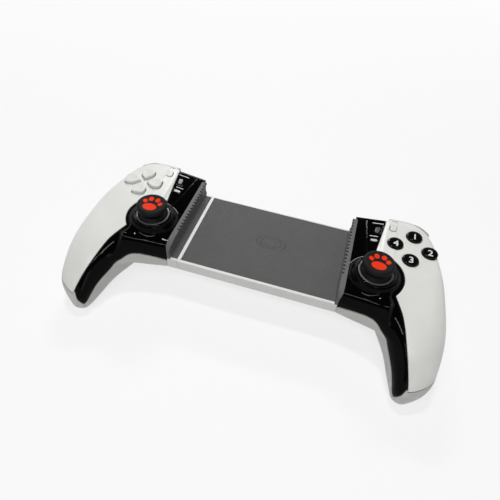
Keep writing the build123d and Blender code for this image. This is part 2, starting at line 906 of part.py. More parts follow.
# Flat ribbon that links the two boards, folded twice in the slide
layer_heights = (-6.0, -4.4, -2.8)
fold_right = slide_right - 11.0
fold_left = spring_pin_x + 3.0
ribbon_end = jaw_x + pad_thickness + tongue_length
drop_start = jaw_x - 7.0
drop_end = jaw_x - 4.0


def ribbon_layer(start, end, z):
    """Level stretch of the ribbon in side view."""
    with Locations(((start + end) / 2, z)):
        Rectangle(end - start, ribbon_thickness)


def ribbon_fold(x, low, high, outward):
    """Half ring that joins two layers at x, open towards the layers."""
    middle = (low + high) / 2
    radius = (high - low) / 2
    half = ribbon_thickness / 2
    with BuildSketch(mode=Mode.PRIVATE) as half_ring:
        with Locations((x, middle)):
            Circle(radius + half)
            Circle(radius - half, mode=Mode.SUBTRACT)
        with Locations((x - outward * 5, middle)):
            Rectangle(10, 10, mode=Mode.SUBTRACT)
    add(half_ring.sketch)


with BuildPart() as link_ribbon:
    with BuildSketch(Plane.XZ.offset(-ribbon_width / 2)):
        ribbon_layer(-ribbon_end, fold_right, layer_heights[0])
        ribbon_fold(fold_right, layer_heights[0], layer_heights[1], 1)
        ribbon_layer(fold_left, fold_right, layer_heights[1])
        ribbon_fold(fold_left, layer_heights[1], layer_heights[2], -1)
        ribbon_layer(fold_left, drop_start, layer_heights[2])
        with BuildLine():
            Polyline(
                (drop_start, layer_heights[2] + ribbon_thickness / 2),
                (drop_end, layer_heights[0] + ribbon_thickness / 2),
                (drop_end, layer_heights[0] - ribbon_thickness / 2),
                (drop_start, layer_heights[2] - ribbon_thickness / 2),
                close=True,
            )
        make_face()
        ribbon_layer(drop_end, ribbon_end, layer_heights[0])
    extrude(amount=ribbon_width)
keep(link_ribbon.part, "link_ribbon")

# Trigger: a curved blade on a pin, under the shoulder button
with BuildPart() as trigger:
    with BuildSketch(side(trigger_left)):
        with BuildLine():
            hub_top = (trigger_pivot_y, trigger_pivot_z + trigger_hub)
            hub_front = (trigger_pivot_y - trigger_hub, trigger_pivot_z)
            hub_bottom = (trigger_pivot_y, trigger_pivot_z - trigger_hub)
            shelf_end = (trigger_pivot_y + 10.0, hub_top[1])
            tip_back = (trigger_pivot_y + 10.6, trigger_low)
            tip_front = (tip_back[0] - 2.4, trigger_low + 1.4)
            crook = (trigger_pivot_y + 8.0, hub_bottom[1] - 1.6)
            ThreePointArc(hub_bottom, hub_front, hub_top)
            Line(hub_top, shelf_end)
            Spline(
                shelf_end,
                (trigger_pivot_y + 16.0, trigger_pivot_z - 1.4),
                (trigger_pivot_y + 17.6, trigger_pivot_z - 9.6),
                (trigger_pivot_y + 15.4, trigger_pivot_z - 19.6),
                tip_back,
                tangents=((1, 0), (-0.6, -1)),
            )
            Line(tip_back, tip_front)
            Spline(
                tip_front,
                (trigger_pivot_y + 11.4, trigger_pivot_z - 18.0),
                (trigger_pivot_y + 11.8, trigger_pivot_z - 10.4),
                crook,
            )
            Line(crook, hub_bottom)
        make_face()
    extrude(amount=trigger_width)
    with BuildSketch(level(trigger_low)) as trigger_plan:
        with Locations((trigger_left + trigger_width / 2, trigger_pivot_y)):
            Rectangle(trigger_width, 35.3)
        fillet(trigger_plan.vertices().group_by(Axis.Y)[-1], 4.0)
    extrude(amount=-trigger_low, mode=Mode.INTERSECT)
    with BuildSketch(side(trigger_left)):
        with Locations((trigger_pivot_y, trigger_pivot_z)):
            Circle(pin_radius + running_gap)
    extrude(amount=trigger_width, mode=Mode.SUBTRACT)
keep_pair(trigger.part, "trigger")

with BuildPart() as trigger_pin:
    with BuildSketch(side(well_left - cheek + 0.3)):
        with Locations((trigger_pivot_y, trigger_pivot_z)):
            Circle(pin_radius)
    extrude(amount=well_right - well_left + 2 * cheek - 0.6)
keep_pair(trigger_pin.part, "trigger_pin")

# Shoulder button: a curved cap round the back corner, on a plunger through the cover
shoulder_gap = shoulder_travel + 0.4
cover_back = handle_sections[0][0]
with BuildPart() as shoulder_button:
    with BuildSketch(level(shoulder_low)) as shoulder_outline:
        with BuildLine():
            inner_end = (53.0, cover_back - 2.8)
            outer_end = (55.8, cover_back - 4.6)
            Line((26.5, cover_back + shoulder_gap), (40.0, cover_back + shoulder_gap))
            Spline(
                (40.0, cover_back + shoulder_gap),
                (47.6, cover_back + shoulder_gap - 0.4),
                inner_end,
                tangents=((1, 0), (1, -0.9)),
            )
            Line(inner_end, outer_end)
            Spline(
                outer_end,
                (49.5, cover_back + 1.8),
                (38.0, cover_back + 4.0),
                (26.5, cover_back + 3.4),
            )
            Line((26.5, cover_back + 3.4), (26.5, cover_back + shoulder_gap))
        make_face()
    extrude(amount=shoulder_high - shoulder_low)
    fillet(shoulder_button.faces().sort_by(Axis.Z)[-1].edges().sort_by(SortBy.LENGTH)[-1], 1.6)
    with BuildSketch(level(plunger_low)):
        with Locations((shoulder_window[0], cover_back - 1.8)):
            Rectangle(shoulder_window[1], 7.2)
    extrude(amount=plunger_high - plunger_low)
keep_pair(shoulder_button.part, "shoulder_button")


# Thumb stick: housing, rocker, pivot block, shaft and cap, all centred on the pivot
def stick_level(height):
    """Horizontal plane at the stick, height counted from the pivot."""
    return Plane((jaw_x + stick_x, stick_y, pivot_z + height))


stick_section = Plane(origin=(jaw_x + stick_x, stick_y, pivot_z), x_dir=(1, 0, 0), z_dir=(0, -1, 0))
stick_side = Plane(origin=(jaw_x + stick_x, stick_y, pivot_z), x_dir=(0, 1, 0), z_dir=(1, 0, 0))
stick_axis = Axis((jaw_x + stick_x, stick_y, 0), (0, 0, 1))
housing_size = 16.0
housing_wall = 1.0
housing_floor = 0.8
housing_height = 8.0
stub_radius = 1.0
cross_pin_radius = 0.9
rocker_length = 13.2
rocker_depth = 11.0
rocker_height = 4.0
block_radius = 2.6
block_length = 7.0
housing_low = board_top - pivot_z

with BuildPart() as stick_housing:
    with BuildSketch(stick_level(housing_low)):
        Rectangle(housing_size, housing_size)
    extrude(amount=housing_height)
    with BuildSketch(stick_level(housing_low + housing_floor)):
        Rectangle(housing_size - 2 * housing_wall, housing_size - 2 * housing_wall)
    extrude(amount=housing_height, mode=Mode.SUBTRACT)
    with BuildSketch(stick_side):
        Circle(stub_radius + running_gap)
    extrude(amount=housing_size, both=True, mode=Mode.SUBTRACT)
keep_pair(stick_housing.part, "stick_housing")

with BuildPart() as stick_rocker:
    with BuildSketch(stick_level(-rocker_height / 2)):
        Rectangle(rocker_length, rocker_depth)
    extrude(amount=rocker_height)
    with BuildSketch(stick_side):
        Circle(stub_radius)
    extrude(amount=housing_size / 2 + 0.2, both=True)
    with BuildSketch(stick_level(-rocker_height)):
        Rectangle(2 * block_radius + 1.6, block_length + 2 * seat_gap)
    extrude(amount=2 * rocker_height, mode=Mode.SUBTRACT)
    with BuildSketch(stick_section):
        Circle(cross_pin_radius + running_gap)
    extrude(amount=rocker_depth, both=True, mode=Mode.SUBTRACT)
keep_pair(stick_rocker.part, "stick_rocker")

with BuildPart() as stick_pivot:
    with BuildSketch(stick_section):
        Circle(block_radius)
    extrude(amount=block_length / 2, both=True)
    with BuildSketch(stick_section):
        Circle(cross_pin_radius)
    extrude(amount=rocker_depth / 2 - 0.1, both=True)
    with BuildSketch(stick_level(-10)):
        Circle(shaft_radius + running_gap)
    extrude(amount=20, mode=Mode.SUBTRACT)
keep_pair(stick_pivot.part, "stick_pivot")

bore_top = cap_top - 2.4
with BuildPart() as stick_shaft:
    with BuildSketch(stick_level(-2.8)):
        Circle(shaft_radius)
    extrude(amount=bore_top + 2.8 - 0.1)
    fillet(stick_shaft.edges().sort_by(Axis.Z)[0], 0.4)
keep_pair(stick_shaft.part, "stick_shaft")

neck_radius = 4.6
skirt_angle = stick_tilt + 46.0  # still under the rim when the stick is tilted


def on_dome(radius, angle):
    """Point of the dome's section at an angle from the stick's axis."""
    return (radius * sin(radians(angle)), radius * cos(radians(angle)))


with BuildPart() as stick_cap:
    with BuildSketch(stick_section):
        with BuildLine():
            bore = shaft_radius + running_gap
            inner_radius = dome_radius - dome_wall
            neck_foot = (neck_radius, sqrt(dome_radius**2 - neck_radius**2))
            bore_foot = (bore, sqrt(inner_radius**2 - bore**2))
            Polyline(bore_foot, (bore, bore_top), (0, bore_top), (0, cap_top - 0.9))
            Bezier((0, cap_top - 0.9), (5.4, cap_top - 0.9), (7.2, cap_top), (cap_radius - 1.6, cap_top))
            Bezier(
                (cap_radius - 1.6, cap_top),
                (cap_radius - 0.4, cap_top),
                (cap_radius, cap_top - 0.5),
                (cap_radius, cap_top - 1.6),
            )
            Polyline(
                (cap_radius, cap_top - 1.6),
                (cap_radius, cap_bottom + 0.8),
                (cap_radius - 0.9, cap_bottom),
                (neck_radius + 0.8, cap_bottom - 0.3),
                (neck_radius, cap_bottom - 1.4),
                neck_foot,
            )
            skirt_outside = on_dome(dome_radius, skirt_angle)
            skirt_inside = on_dome(inner_radius, skirt_angle)
            ThreePointArc(neck_foot, on_dome(dome_radius, skirt_angle / 2 + 8), skirt_outside)
            Line(skirt_outside, skirt_inside)
            ThreePointArc(skirt_inside, on_dome(inner_radius, skirt_angle / 2), bore_foot)
        make_face()
    revolve(axis=stick_axis)
keep_pair(stick_cap.part, "stick_cap")

with BuildPart() as light_ring:
    with BuildSketch(stick_level(rim_z - ring_thickness - pivot_z)):
        Circle(ring_outer)
        Circle(ring_inner, mode=Mode.SUBTRACT)
    extrude(amount=ring_thickness - 0.2)
keep_pair(light_ring.part, "light_ring")

# Battery in the left handle
battery_x = 39.0
battery_size = (30.0, 26.0)
battery_low = -12.3
battery_thickness = 7.0
with BuildPart() as battery:
    with BuildSketch(level(battery_low)):
        with Locations((battery_x, 0)):
            Rectangle(*battery_size)
    extrude(amount=battery_thickness)
    fillet(battery.edges().filter_by(Axis.Y), 1.6)
keep_mirrored(battery.part, "battery")

# Screws of one handle, driven from below
with BuildPart() as screws:
    for places, joint_z, thread_top in (
        (board_screws, board_z, board_thread_top),
        ([grip_screw], grip_joint_z, grip_thread_top),
    ):
        with BuildSketch(level(joint_z - seat_depth - head_height)):
            with Locations(*places):
                Circle(head_radius)
        extrude(amount=head_height)
        with BuildSketch(level(joint_z - seat_depth)):
            with Locations(*places):
                Circle(screw_radius)
        extrude(amount=thread_top - joint_z + seat_depth)
keep_pair(screws.part, "screws")
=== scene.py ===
from math import cos, radians, sin

import bmesh
import bpy
import numpy as np
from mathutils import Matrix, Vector


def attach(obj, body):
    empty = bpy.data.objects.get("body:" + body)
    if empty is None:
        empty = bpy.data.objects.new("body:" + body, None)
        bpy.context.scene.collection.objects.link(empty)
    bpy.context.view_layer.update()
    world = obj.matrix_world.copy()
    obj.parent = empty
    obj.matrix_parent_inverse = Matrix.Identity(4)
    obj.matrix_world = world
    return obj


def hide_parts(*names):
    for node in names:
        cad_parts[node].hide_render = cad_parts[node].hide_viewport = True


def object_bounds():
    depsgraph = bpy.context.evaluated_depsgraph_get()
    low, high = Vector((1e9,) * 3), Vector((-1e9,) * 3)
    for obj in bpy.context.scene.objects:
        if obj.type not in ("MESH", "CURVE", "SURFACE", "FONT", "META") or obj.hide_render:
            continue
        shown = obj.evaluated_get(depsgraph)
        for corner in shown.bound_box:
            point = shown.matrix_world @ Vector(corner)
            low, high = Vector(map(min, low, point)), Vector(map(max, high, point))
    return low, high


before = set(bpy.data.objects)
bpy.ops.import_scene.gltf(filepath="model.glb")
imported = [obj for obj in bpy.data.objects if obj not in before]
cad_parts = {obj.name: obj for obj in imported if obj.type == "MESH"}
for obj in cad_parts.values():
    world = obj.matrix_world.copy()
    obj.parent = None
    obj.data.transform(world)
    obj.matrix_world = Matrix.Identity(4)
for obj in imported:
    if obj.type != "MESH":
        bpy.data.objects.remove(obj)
cad_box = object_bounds()
MM = 0.001


# Form of a handle
# Each handle is a moulded casing: a long rounded grip, a bridge to the jaw and a raised rim round the
# thumb stick. Its skins are all cut from this one form, so that they meet flush. Sizes are in millimetres,
# and x is counted from the jaw outwards.
JAW = 57.0
STICK_X, STICK_Y, PIVOT_Z = 20.0, -15.5, 8.4
FACE_Z = 14.4
# depth, inner side, outer side, top, bottom, widest level, inner rounding, outer rounding
STATIONS = np.array([
    (-77, 51, 54, -18.4, -26, -22.8, 1.2, 1.2),
    (-75, 47.8, 57.2, -14.6, -28.6, -21.5, 3.6, 5),
    (-70, 44.8, 64.3, -8.4, -32.6, -18.5, 7, 11.5),
    (-60, 41, 69.2, 0.4, -32, -15, 11, 15),
    (-48, 35.8, 70.6, 6.8, -28.4, -9, 14, 17),
    (-34, 28, 70.6, 11, -23.2, -4, 11, 16),
    (-18, 21.6, 69.1, 13.7, -18.5, -2, 8, 12),
    (0, 18.5, 66.8, 14.4, -16, -1, 6, 8),
    (15, 18.5, 63.5, 14.4, -15, 0, 6, 7),
    (31, 19.5, 59, 14.4, -13.5, 1, 6, 7),
    (40.5, 21.4, 52.6, 14.1, -10.6, 2, 6, 8),
    (45.2, 24.6, 46.5, 12.6, -8, 2, 4, 7),
])
FULLNESS = 2.38  # exponent of the rounded corners, where 2 is an ellipse
TIP_Y, BACK_Y = -77.0, 45.2  # ends of the grip
JAW_FACE, BRIDGE_END, BRIDGE_BACK, BRIDGE_BOTTOM = 2.0, 31.0, 41.5, -8.5
STRIP_LOW, STRIP_RISE, STRIP_RUN = 10.6, 3.6, 27.0  # the strip's height at the jaw and its slope outwards
FRONT_Y, FRONT_SLANT, FRONT_ROLL, ROLL_LEVEL = -35.8, 5.7, 11.0, -1.0
RIM_TOP, RIM_RADIUS, RIM_SLOPE = 18.65, 13.0, 0.15
LEDGE_DROP, LEDGE_RADIUS, LEDGE_SLOPE = 1.3, 14.3, 0.16


def natural_cubic(knots, values):
    """Curve through the values at the knots, by place, bent as a thin lath bends: its second derivatives
    are none at the ends and solve the tridiagonal equations between."""
    span = np.diff(knots)
    system = np.eye(len(knots))
    inner = np.arange(1, len(knots) - 1)
    system[inner, inner - 1] = span[:-1]
    system[inner, inner] = 2 * (span[:-1] + span[1:])
    system[inner, inner + 1] = span[1:]
    right = np.zeros_like(values)
    right[1:-1] = 6 * np.diff(np.diff(values, axis=0) / span[:, None], axis=0)
    bends = np.linalg.solve(system, right)

    def curve(place):
        place = np.clip(place, knots[0], knots[-1])
        k = np.clip(np.searchsorted(knots, place) - 1, 0, len(knots) - 2)
        a = ((knots[k + 1] - place) / span[k])[..., None]
        b = 1 - a
        bent = ((a**3 - a) * bends[k] + (b**3 - b) * bends[k + 1]) * (span[k] ** 2)[..., None] / 6
        return a * values[k] + b * values[k + 1] + bent

    return curve


SECTION_DEPTHS = np.linspace(-84, 48, 1200)
SECTIONS = natural_cubic(STATIONS[:, 0], STATIONS[:, 1:])(SECTION_DEPTHS).T


def smooth_min(a, b, k):
    """Lesser of two fields, less (k - |a - b|)^2 / 4k where they come closer than the width k."""
    near = np.maximum(k - np.abs(a - b), 0)
    return np.minimum(a, b) - near**2 / (4 * k)


def smooth_max(a, b, k):
    """Greater of two fields, blended over the width k."""
    return -smooth_min(-a, -b, k)


def rounded(a, b, near_radius, far_radius):
    """Field of a corner rounded as |a|^p + |b|^p = 1, over its slope, so that it reads as a distance."""
    total = np.maximum(a**FULLNESS + b**FULLNESS, 1e-9)
    slope_a = a ** (FULLNESS - 1) / near_radius
    slope_b = b ** (FULLNESS - 1) / far_radius
    slope = np.sqrt(slope_a**2 + slope_b**2) * total ** (1 / FULLNESS - 1)
    return (total ** (1 / FULLNESS) - 1) / np.maximum(slope, 1 / (near_radius + far_radius))


def grip_field(x, y, z):
    """Distance from the long rounded body: a flat-topped oval section that changes along y."""
    inner, outer, top, bottom, middle, inner_round, outer_round = (
        np.interp(y, SECTION_DEPTHS, values) for values in SECTIONS
    )
    top = np.minimum(top, FACE_Z)
    flat_start = inner + inner_round
    flat_end = outer - outer_round
    side_radius = np.where(x < flat_start, inner_round, outer_round)
    rise = np.where(z > middle, top - middle, middle - bottom)
    reach = np.maximum(np.maximum(flat_start - x, x - flat_end), 0)
    section = rounded(reach / side_radius, np.abs(z - middle) / rise, side_radius, rise)
    return smooth_max(smooth_max(section, y - BACK_Y, 3.0), TIP_Y - y, 1.5)


def bridge_field(x, y, z):
    """Distance from the block at the jaw, which slopes up outwards and rolls down at its front."""
    share = np.clip((x - JAW_FACE) / STRIP_RUN, 0, 1.1)
    front = FRONT_Y - FRONT_SLANT * share
    rise = STRIP_LOW + STRIP_RISE * share - ROLL_LEVEL
    back_from_front = np.maximum(front + FRONT_ROLL - y, 0) / FRONT_ROLL
    rolled = rounded(back_from_front, np.maximum(z - ROLL_LEVEL, 0) / rise, FRONT_ROLL, rise)
    box = np.maximum(smooth_max(rolled, y - BRIDGE_BACK, 1.2), JAW_FACE - x)
    return np.maximum(np.maximum(box, BRIDGE_BOTTOM - z), x - BRIDGE_END)


def rim_field(x, y, z):
    """Distance from the rim round the stick: a cone that widens downwards, with a crisp ledge round it."""
    away = np.hypot(x - STICK_X, y - STICK_Y)
    cone = smooth_max((away - RIM_RADIUS - RIM_SLOPE * (RIM_TOP - z)) * 0.98, z - RIM_TOP, 1.0)
    from_ledge = np.hypot(x - STICK_X - 0.4, y - STICK_Y - 0.3)
    ledge_side = (from_ledge - LEDGE_RADIUS - LEDGE_SLOPE * (RIM_TOP - LEDGE_DROP - z)) * 0.97
    ledge = smooth_max(ledge_side, z - RIM_TOP + LEDGE_DROP, 0.4)
    return np.maximum(smooth_min(cone, ledge, 0.5), 9.0 - z)


def handle_field(x, y, z):
    """Distance from the whole handle: the three bodies joined, with a wide blend under the grip's corner."""
    towards_front = np.clip((-24.0 - y) / 14.0, 0, 1)
    high = np.clip((z + 10.0) / 9.0, 0, 1)
    blend = 1.0 + (3.0 + 9.0 * high**2 * (3 - 2 * high)) * towards_front**2 * (3 - 2 * towards_front)
    joined = smooth_min(grip_field(x, y, z), bridge_field(x, y, z), blend)
    return smooth_min(joined, rim_field(x, y, z), 4.0)


def slope_of(field, points, step=0.02):
    """Gradient of a field at the points, by central differences."""
    shifts = step * np.eye(3)
    return np.stack([field(*(points + d).T) - field(*(points - d).T) for d in shifts], 1) / (2 * step)


def settle(field, points, rounds=4):
    """Move points onto the field's zero surface by Newton steps along its gradient."""
    for _ in range(rounds):
        slope = slope_of(field, points)
        size = np.maximum((slope**2).sum(1, keepdims=True), 0.05)
        shift = field(*points.T)[:, None] * slope / size
        points = points - np.clip(shift, -0.4, 0.4)
    return points


AXIS_ORDERS = ((0, 1, 2), (1, 2, 0), (2, 0, 1))


def surface_of(field, low, high, step):
    """Mesh of a field's zero surface: one point in each grid cell that it crosses, at the mean of the
    crossings on the cell's edges, and one quad round each crossed edge."""
    axes = [np.arange(a, b + step, step) for a, b in zip(low, high)]
    values = field(*np.meshgrid(*axes, indexing="ij"))
    cells = tuple(n - 1 for n in values.shape)
    count = np.zeros(cells)
    total = np.zeros(cells + (3,))
    places = np.indices(cells)
    crossings = []
    for a, b, c in AXIS_ORDERS:
        before, after = values.transpose(a, b, c)[:-1], values.transpose(a, b, c)[1:]
        crossed = (before < 0) != (after < 0)
        share = np.where(crossed, before / np.where(crossed, before - after, 1), 0)
        crossings.append((crossed, before < 0))
        for db, dc in np.ndindex(2, 2):
            part = (slice(None), slice(db, db + cells[b]), slice(dc, dc + cells[c]))
            hit, along = (np.moveaxis(whole[part], (0, 1, 2), (a, b, c)) for whole in (crossed, share))
            count += hit
            total[..., a] += hit * (places[a] + along)
            total[..., b] += hit * (places[b] + db)
            total[..., c] += hit * (places[c] + dc)
    used = count > 0
    number = np.full(cells, -1)
    number[used] = np.arange(used.sum())
    points = total[used] / count[used][:, None] * step + np.array(low)
    faces = []
    for order, (crossed, outwards) in zip(AXIS_ORDERS, crossings):
        index = number.transpose(order)
        hit = crossed[:, 1:-1, 1:-1]
        low, high = index[:, :-1], index[:, 1:]
        quads = np.stack([low[..., :-1], high[..., :-1], high[..., 1:], low[..., 1:]], -1)[hit]
        turn = ~outwards[:, 1:-1, 1:-1][hit]
        quads[turn] = quads[turn][:, ::-1]
        faces.append(quads)
    return settle(field, points), np.concatenate(faces)


def triangles(quads):
    """Two triangles for each quad."""
    return np.concatenate([quads[:, [0, 1, 2]], quads[:, [0, 2, 3]]])


def cut(points, faces, measure, drop):
    """Split triangles where the measure passes zero. With drop, the side with values below zero is left out.
    The place on each crossed edge is found by false position: the zero of the line through both ends'
    values, again from the nearer ends."""
    values = measure(points)
    values = np.where(np.abs(values) < 1e-6, 1e-6, values)
    above = values[faces] > 0
    mixed = above.any(1) & ~above.all(1)
    whole = faces[above.all(1)] if drop else faces[~mixed]
    odd_is_above = above[mixed].sum(1) == 1
    odd = (above[mixed] == odd_is_above[:, None]).argmax(1)
    a, b, c = np.take_along_axis(faces[mixed], (odd[:, None] + np.arange(3)) % 3, 1).T
    edges = np.sort(np.stack([np.tile(a, 2), np.concatenate([b, c])], 1), axis=1)
    edges, which = np.unique(edges, axis=0, return_inverse=True)
    ab, ac = which.reshape(2, -1) + len(points)
    start, end = points[edges.T]
    near_value, far_value = values[edges.T]
    near, far = 0.0, 1.0
    for _ in range(4):
        share = near + (far - near) * np.clip(near_value / (near_value - far_value), 0.02, 0.98)
        value = measure(start + (end - start) * share[:, None])
        same = (value > 0) == (near_value > 0)
        near, near_value = np.where(same, share, near), np.where(same, value, near_value)
        far, far_value = np.where(same, far, share), np.where(same, far_value, value)
    share = np.where(np.abs(near_value) < np.abs(far_value), near, far)
    added = start + (end - start) * np.clip(share, 0.01, 0.99)[:, None]
    tips = np.stack([a, ab, ac], 1)
    rests = np.concatenate([np.stack([ab, b, c], 1), np.stack([ab, c, ac], 1)])
    twice = np.tile(odd_is_above, 2)
    kept = [whole, tips[odd_is_above], rests[~twice]]
    if not drop:
        kept += [tips[~odd_is_above], rests[twice]]
    faces = np.concatenate(kept)
    points = np.concatenate([points, added])
    used, faces = np.unique(faces, return_inverse=True)
    return points[used], faces.reshape(-1, 3)


SEAM_GAP = 0.12  # half of the open line between two skins
EDGE_WIDTH, EDGE_DEPTH = 0.55, 0.22  # of the rounding beside it


def skin(seams, sink=0.0):
    """Part of the handle's surface where every seam's distance is over the gap. Its edges are rounded
    down towards the seams, and the whole of it lies sink below the form."""
    points, faces = HANDLE
    for seam in seams:
        for level, drop in ((SEAM_GAP + EDGE_WIDTH, False), (SEAM_GAP, True)):
            points, faces = cut(points, faces, lambda place: seam(*place.T) - level, drop)
    points = settle(handle_field, points, 2)
    inwards = -slope_of(handle_field, points)
    inwards /= np.linalg.norm(inwards, axis=1, keepdims=True)
    nearest = np.min([seam(*points.T) for seam in seams], axis=0) - SEAM_GAP
    near = np.clip(1 - nearest / EDGE_WIDTH, 0, 1)
    points = points + inwards * (sink + EDGE_DEPTH * near**2)[:, None]
    return points, faces, near


def place_object(name, data):
    """New object in the scene from its mesh, text, camera or lamp."""
    placed = bpy.data.objects.new(name, data)
    bpy.context.scene.collection.objects.link(placed)
    return placed


def new_piece(name, points, faces, side=1):
    """Object at the origin from points in millimetres. Side 1 or -1 puts a handle's piece at the right
    or the left: x becomes side * (jaw + x), and a mirrored face is turned round."""
    place = points * MM
    place[:, 0] = side * (JAW * MM + place[:, 0])
    mesh = bpy.data.meshes.new(name)
    mesh.from_pydata(place.tolist(), [], faces[:, ::side].tolist())
    mesh.validate()
    mesh.shade_smooth()
    return place_object(name, mesh)


def give_wall(piece, thickness):
    """Thicken a skin inwards, in metres."""
    wall = piece.modifiers.new("wall", "SOLIDIFY")
    wall.thickness = thickness
    wall.offset = -1
    return piece


SIDES = ((1, "right"), (-1, "left"))
WALL = 1.2 * MM
handle_points, handle_quads = surface_of(handle_field, (-1.0, -80.0, -35.0), (73.0, 47.0, 22.0), 0.8)
HANDLE = (handle_points, triangles(handle_quads))


# Borders between the skins
# The three casing mouldings of a handle meet in thin open lines. The white cover's border runs down the
# strip, round the rim and along the grip; the lower edges of cover and trim lie on the sides.
BORDER_GRIP = np.array([(35.01, -26.4), (41.4, -39.3), (47.2, -57.6), (52.7, -73.0), (55.5, -82.0)])
ARC_X, ARC_Y, ARC_RADIUS = 20.0, -13.8, 19.6  # of its arc round the stick


def smooth_line(corners, spacing=0.5):
    """Points on the natural cubic through the corners, by the distance along them."""
    along = np.concatenate([[0], np.cumsum(np.linalg.norm(np.diff(corners, axis=0), axis=1))])
    return natural_cubic(along, corners)(np.arange(0, along[-1], spacing))


arc_angles = np.radians(np.linspace(92.92, -40, 60))
arc = np.stack([ARC_X + ARC_RADIUS * np.cos(arc_angles), ARC_Y + ARC_RADIUS * np.sin(arc_angles)], 1)
BORDER_STRIP = [(25.9, 60.5), (23.6, 41.5), (19.0, 6.2)]
BORDER = np.concatenate([BORDER_STRIP, arc, smooth_line(BORDER_GRIP)[1:], [(58.6, -92.0)]])


def line_distance(x, y, line):
    """Distance in plan from each point to a line of straight runs."""
    result = np.empty(len(x))
    start = line[:-1]
    run = np.diff(line, axis=0)
    size = (run**2).sum(1)
    for chunk in np.array_split(np.arange(len(x)), max(1, len(x) // 4000)):
        dx = x[chunk, None] - start[:, 0]
        dy = y[chunk, None] - start[:, 1]
        share = np.clip((dx * run[:, 0] + dy * run[:, 1]) / size, 0, 1)
        result[chunk] = np.hypot(dx - share * run[:, 0], dy - share * run[:, 1]).min(1)
    return result


def outside_border(x, y, z):
    """Distance in plan from the border of the white cover, positive on the cover's side."""
    at_depth = np.interp(-y, -BORDER[:, 1], BORDER[:, 0])
    return line_distance(x, y, BORDER) * np.sign(x - at_depth)


# the skins' lower edges, by depth and height
COVER_EDGE = np.array([(-86, -18), (-68, -11.5), (-52, -7), (-30, -3.6), (0, -1.2), (30, 1.8), (60, 3.2)])
COVER_EDGE_LINE = natural_cubic(COVER_EDGE[:, 0], COVER_EDGE[:, 1:])
CORNER_Y, BRIDGE_EDGE_Z = -34.8, -3.6
TRIM_EDGE = [(-80, -28.5), (-73, -22), (-68, -17.6), (-61.5, -12.6), (-56, -10), (-50, -7.2), (-45.5, -2.6)]
TRIM_EDGE_LINE = smooth_line(np.array(TRIM_EDGE + [(-41, 1.8), (CORNER_Y, BRIDGE_EDGE_Z)])).T
END_X, END_Z, END_ACROSS, END_UP = 52.1, -12.9, 0.905, 0.418  # corner and slant of the trim's end
# by depth, how much of a height above that edge is distance from it
EDGE_SLANT = [(-75, 0.75), (-66, 0.75), (-58, 0.9), (-48, 0.75), (-44, 0.7), (-36, 0.8), (-34, 1.0)]


def above_cover_edge(x, y, z):
    """Height above the white cover's lower edge."""
    return z - COVER_EDGE_LINE(y)[:, 0]


def above_trim_edge(x, y, z):
    """Distance above the trim's lower edge, which is level under the bridge. Near the tip the slanted
    end bounds it too."""
    grip_edge = np.interp(y, *TRIM_EDGE_LINE)
    slant = np.interp(y, *zip(*EDGE_SLANT))
    edge = (z - np.where(y > CORNER_Y, BRIDGE_EDGE_Z, grip_edge)) * slant
    slanted_end = (END_X - x) * END_ACROSS + (z - END_Z) * END_UP
    return np.where(y < -60, np.minimum(edge, slanted_end), edge)


def in_back(x, y, z):
    """Distance down from the edge of whichever skin lies above the back shell."""
    outer = outside_border(x, y, z)
    from_cover = np.where(outer > -3, -above_cover_edge(x, y, z), 9)
    from_trim = np.where(outer < 3, -above_trim_edge(x, y, z), 9)
    return np.where(outer > 0, from_cover, from_trim)


# Moulded plastics
# All the casing pieces are injection moulded, so their finishes share one group: a slow drift of the
# colour, the tool's fine grain, hand smudges in the roughness, and painted shade at the seams, in patches,
# which on the black trim is light dust instead.


def feed(tree, node, sockets):
    """Set a node's inputs, each to a plain value or to an output given as (node, name)."""
    for socket, value in sockets.items():
        if isinstance(value, tuple) and isinstance(value[0], bpy.types.Node):
            tree.links.new(value[0].outputs[value[1]], node.inputs[socket])
        else:
            node.inputs[socket].default_value = value


def add_node(tree, kind, sockets, **settings):
    """New shader node with its settings and inputs."""
    node = tree.nodes.new("ShaderNode" + kind)
    for key, value in settings.items():
        setattr(node, key, value)
    feed(tree, node, sockets)
    return node


def on_object(tree):
    """Place on the object, in metres."""
    return add_node(tree, "TexCoord", {}), "Object"


def calculated(tree, operation, *values, clamp=False):
    """Result of one operation on the values."""
    return add_node(tree, "Math", dict(enumerate(values)), operation=operation, use_clamp=clamp), "Value"


def ramp(tree, value, start, end, low, high):
    """Value that goes straight from low to high while the given one goes from start to end."""
    sockets = {"Value": value, "From Min": start, "From Max": end, "To Min": low, "To Max": high}
    return add_node(tree, "MapRange", sockets), "Result"


def mixed(tree, factor, a, b, blend="MIX"):
    """Colour a with its share of colour b mixed or multiplied in."""
    sockets = {"Factor": factor, "A": a, "B": b}
    return add_node(tree, "Mix", sockets, data_type="RGBA", blend_type=blend), "Result"


def new_group(name, inputs, outputs):
    """Empty node group with sockets given by name and kind, and its two end nodes."""
    group = bpy.data.node_groups.new(name, "ShaderNodeTree")
    for in_out, sockets in (("INPUT", inputs), ("OUTPUT", outputs)):
        for socket, kind in sockets.items():
            group.interface.new_socket(socket, in_out=in_out, socket_type="NodeSocket" + kind)
    return group, group.nodes.new("NodeGroupInput"), group.nodes.new("NodeGroupOutput")


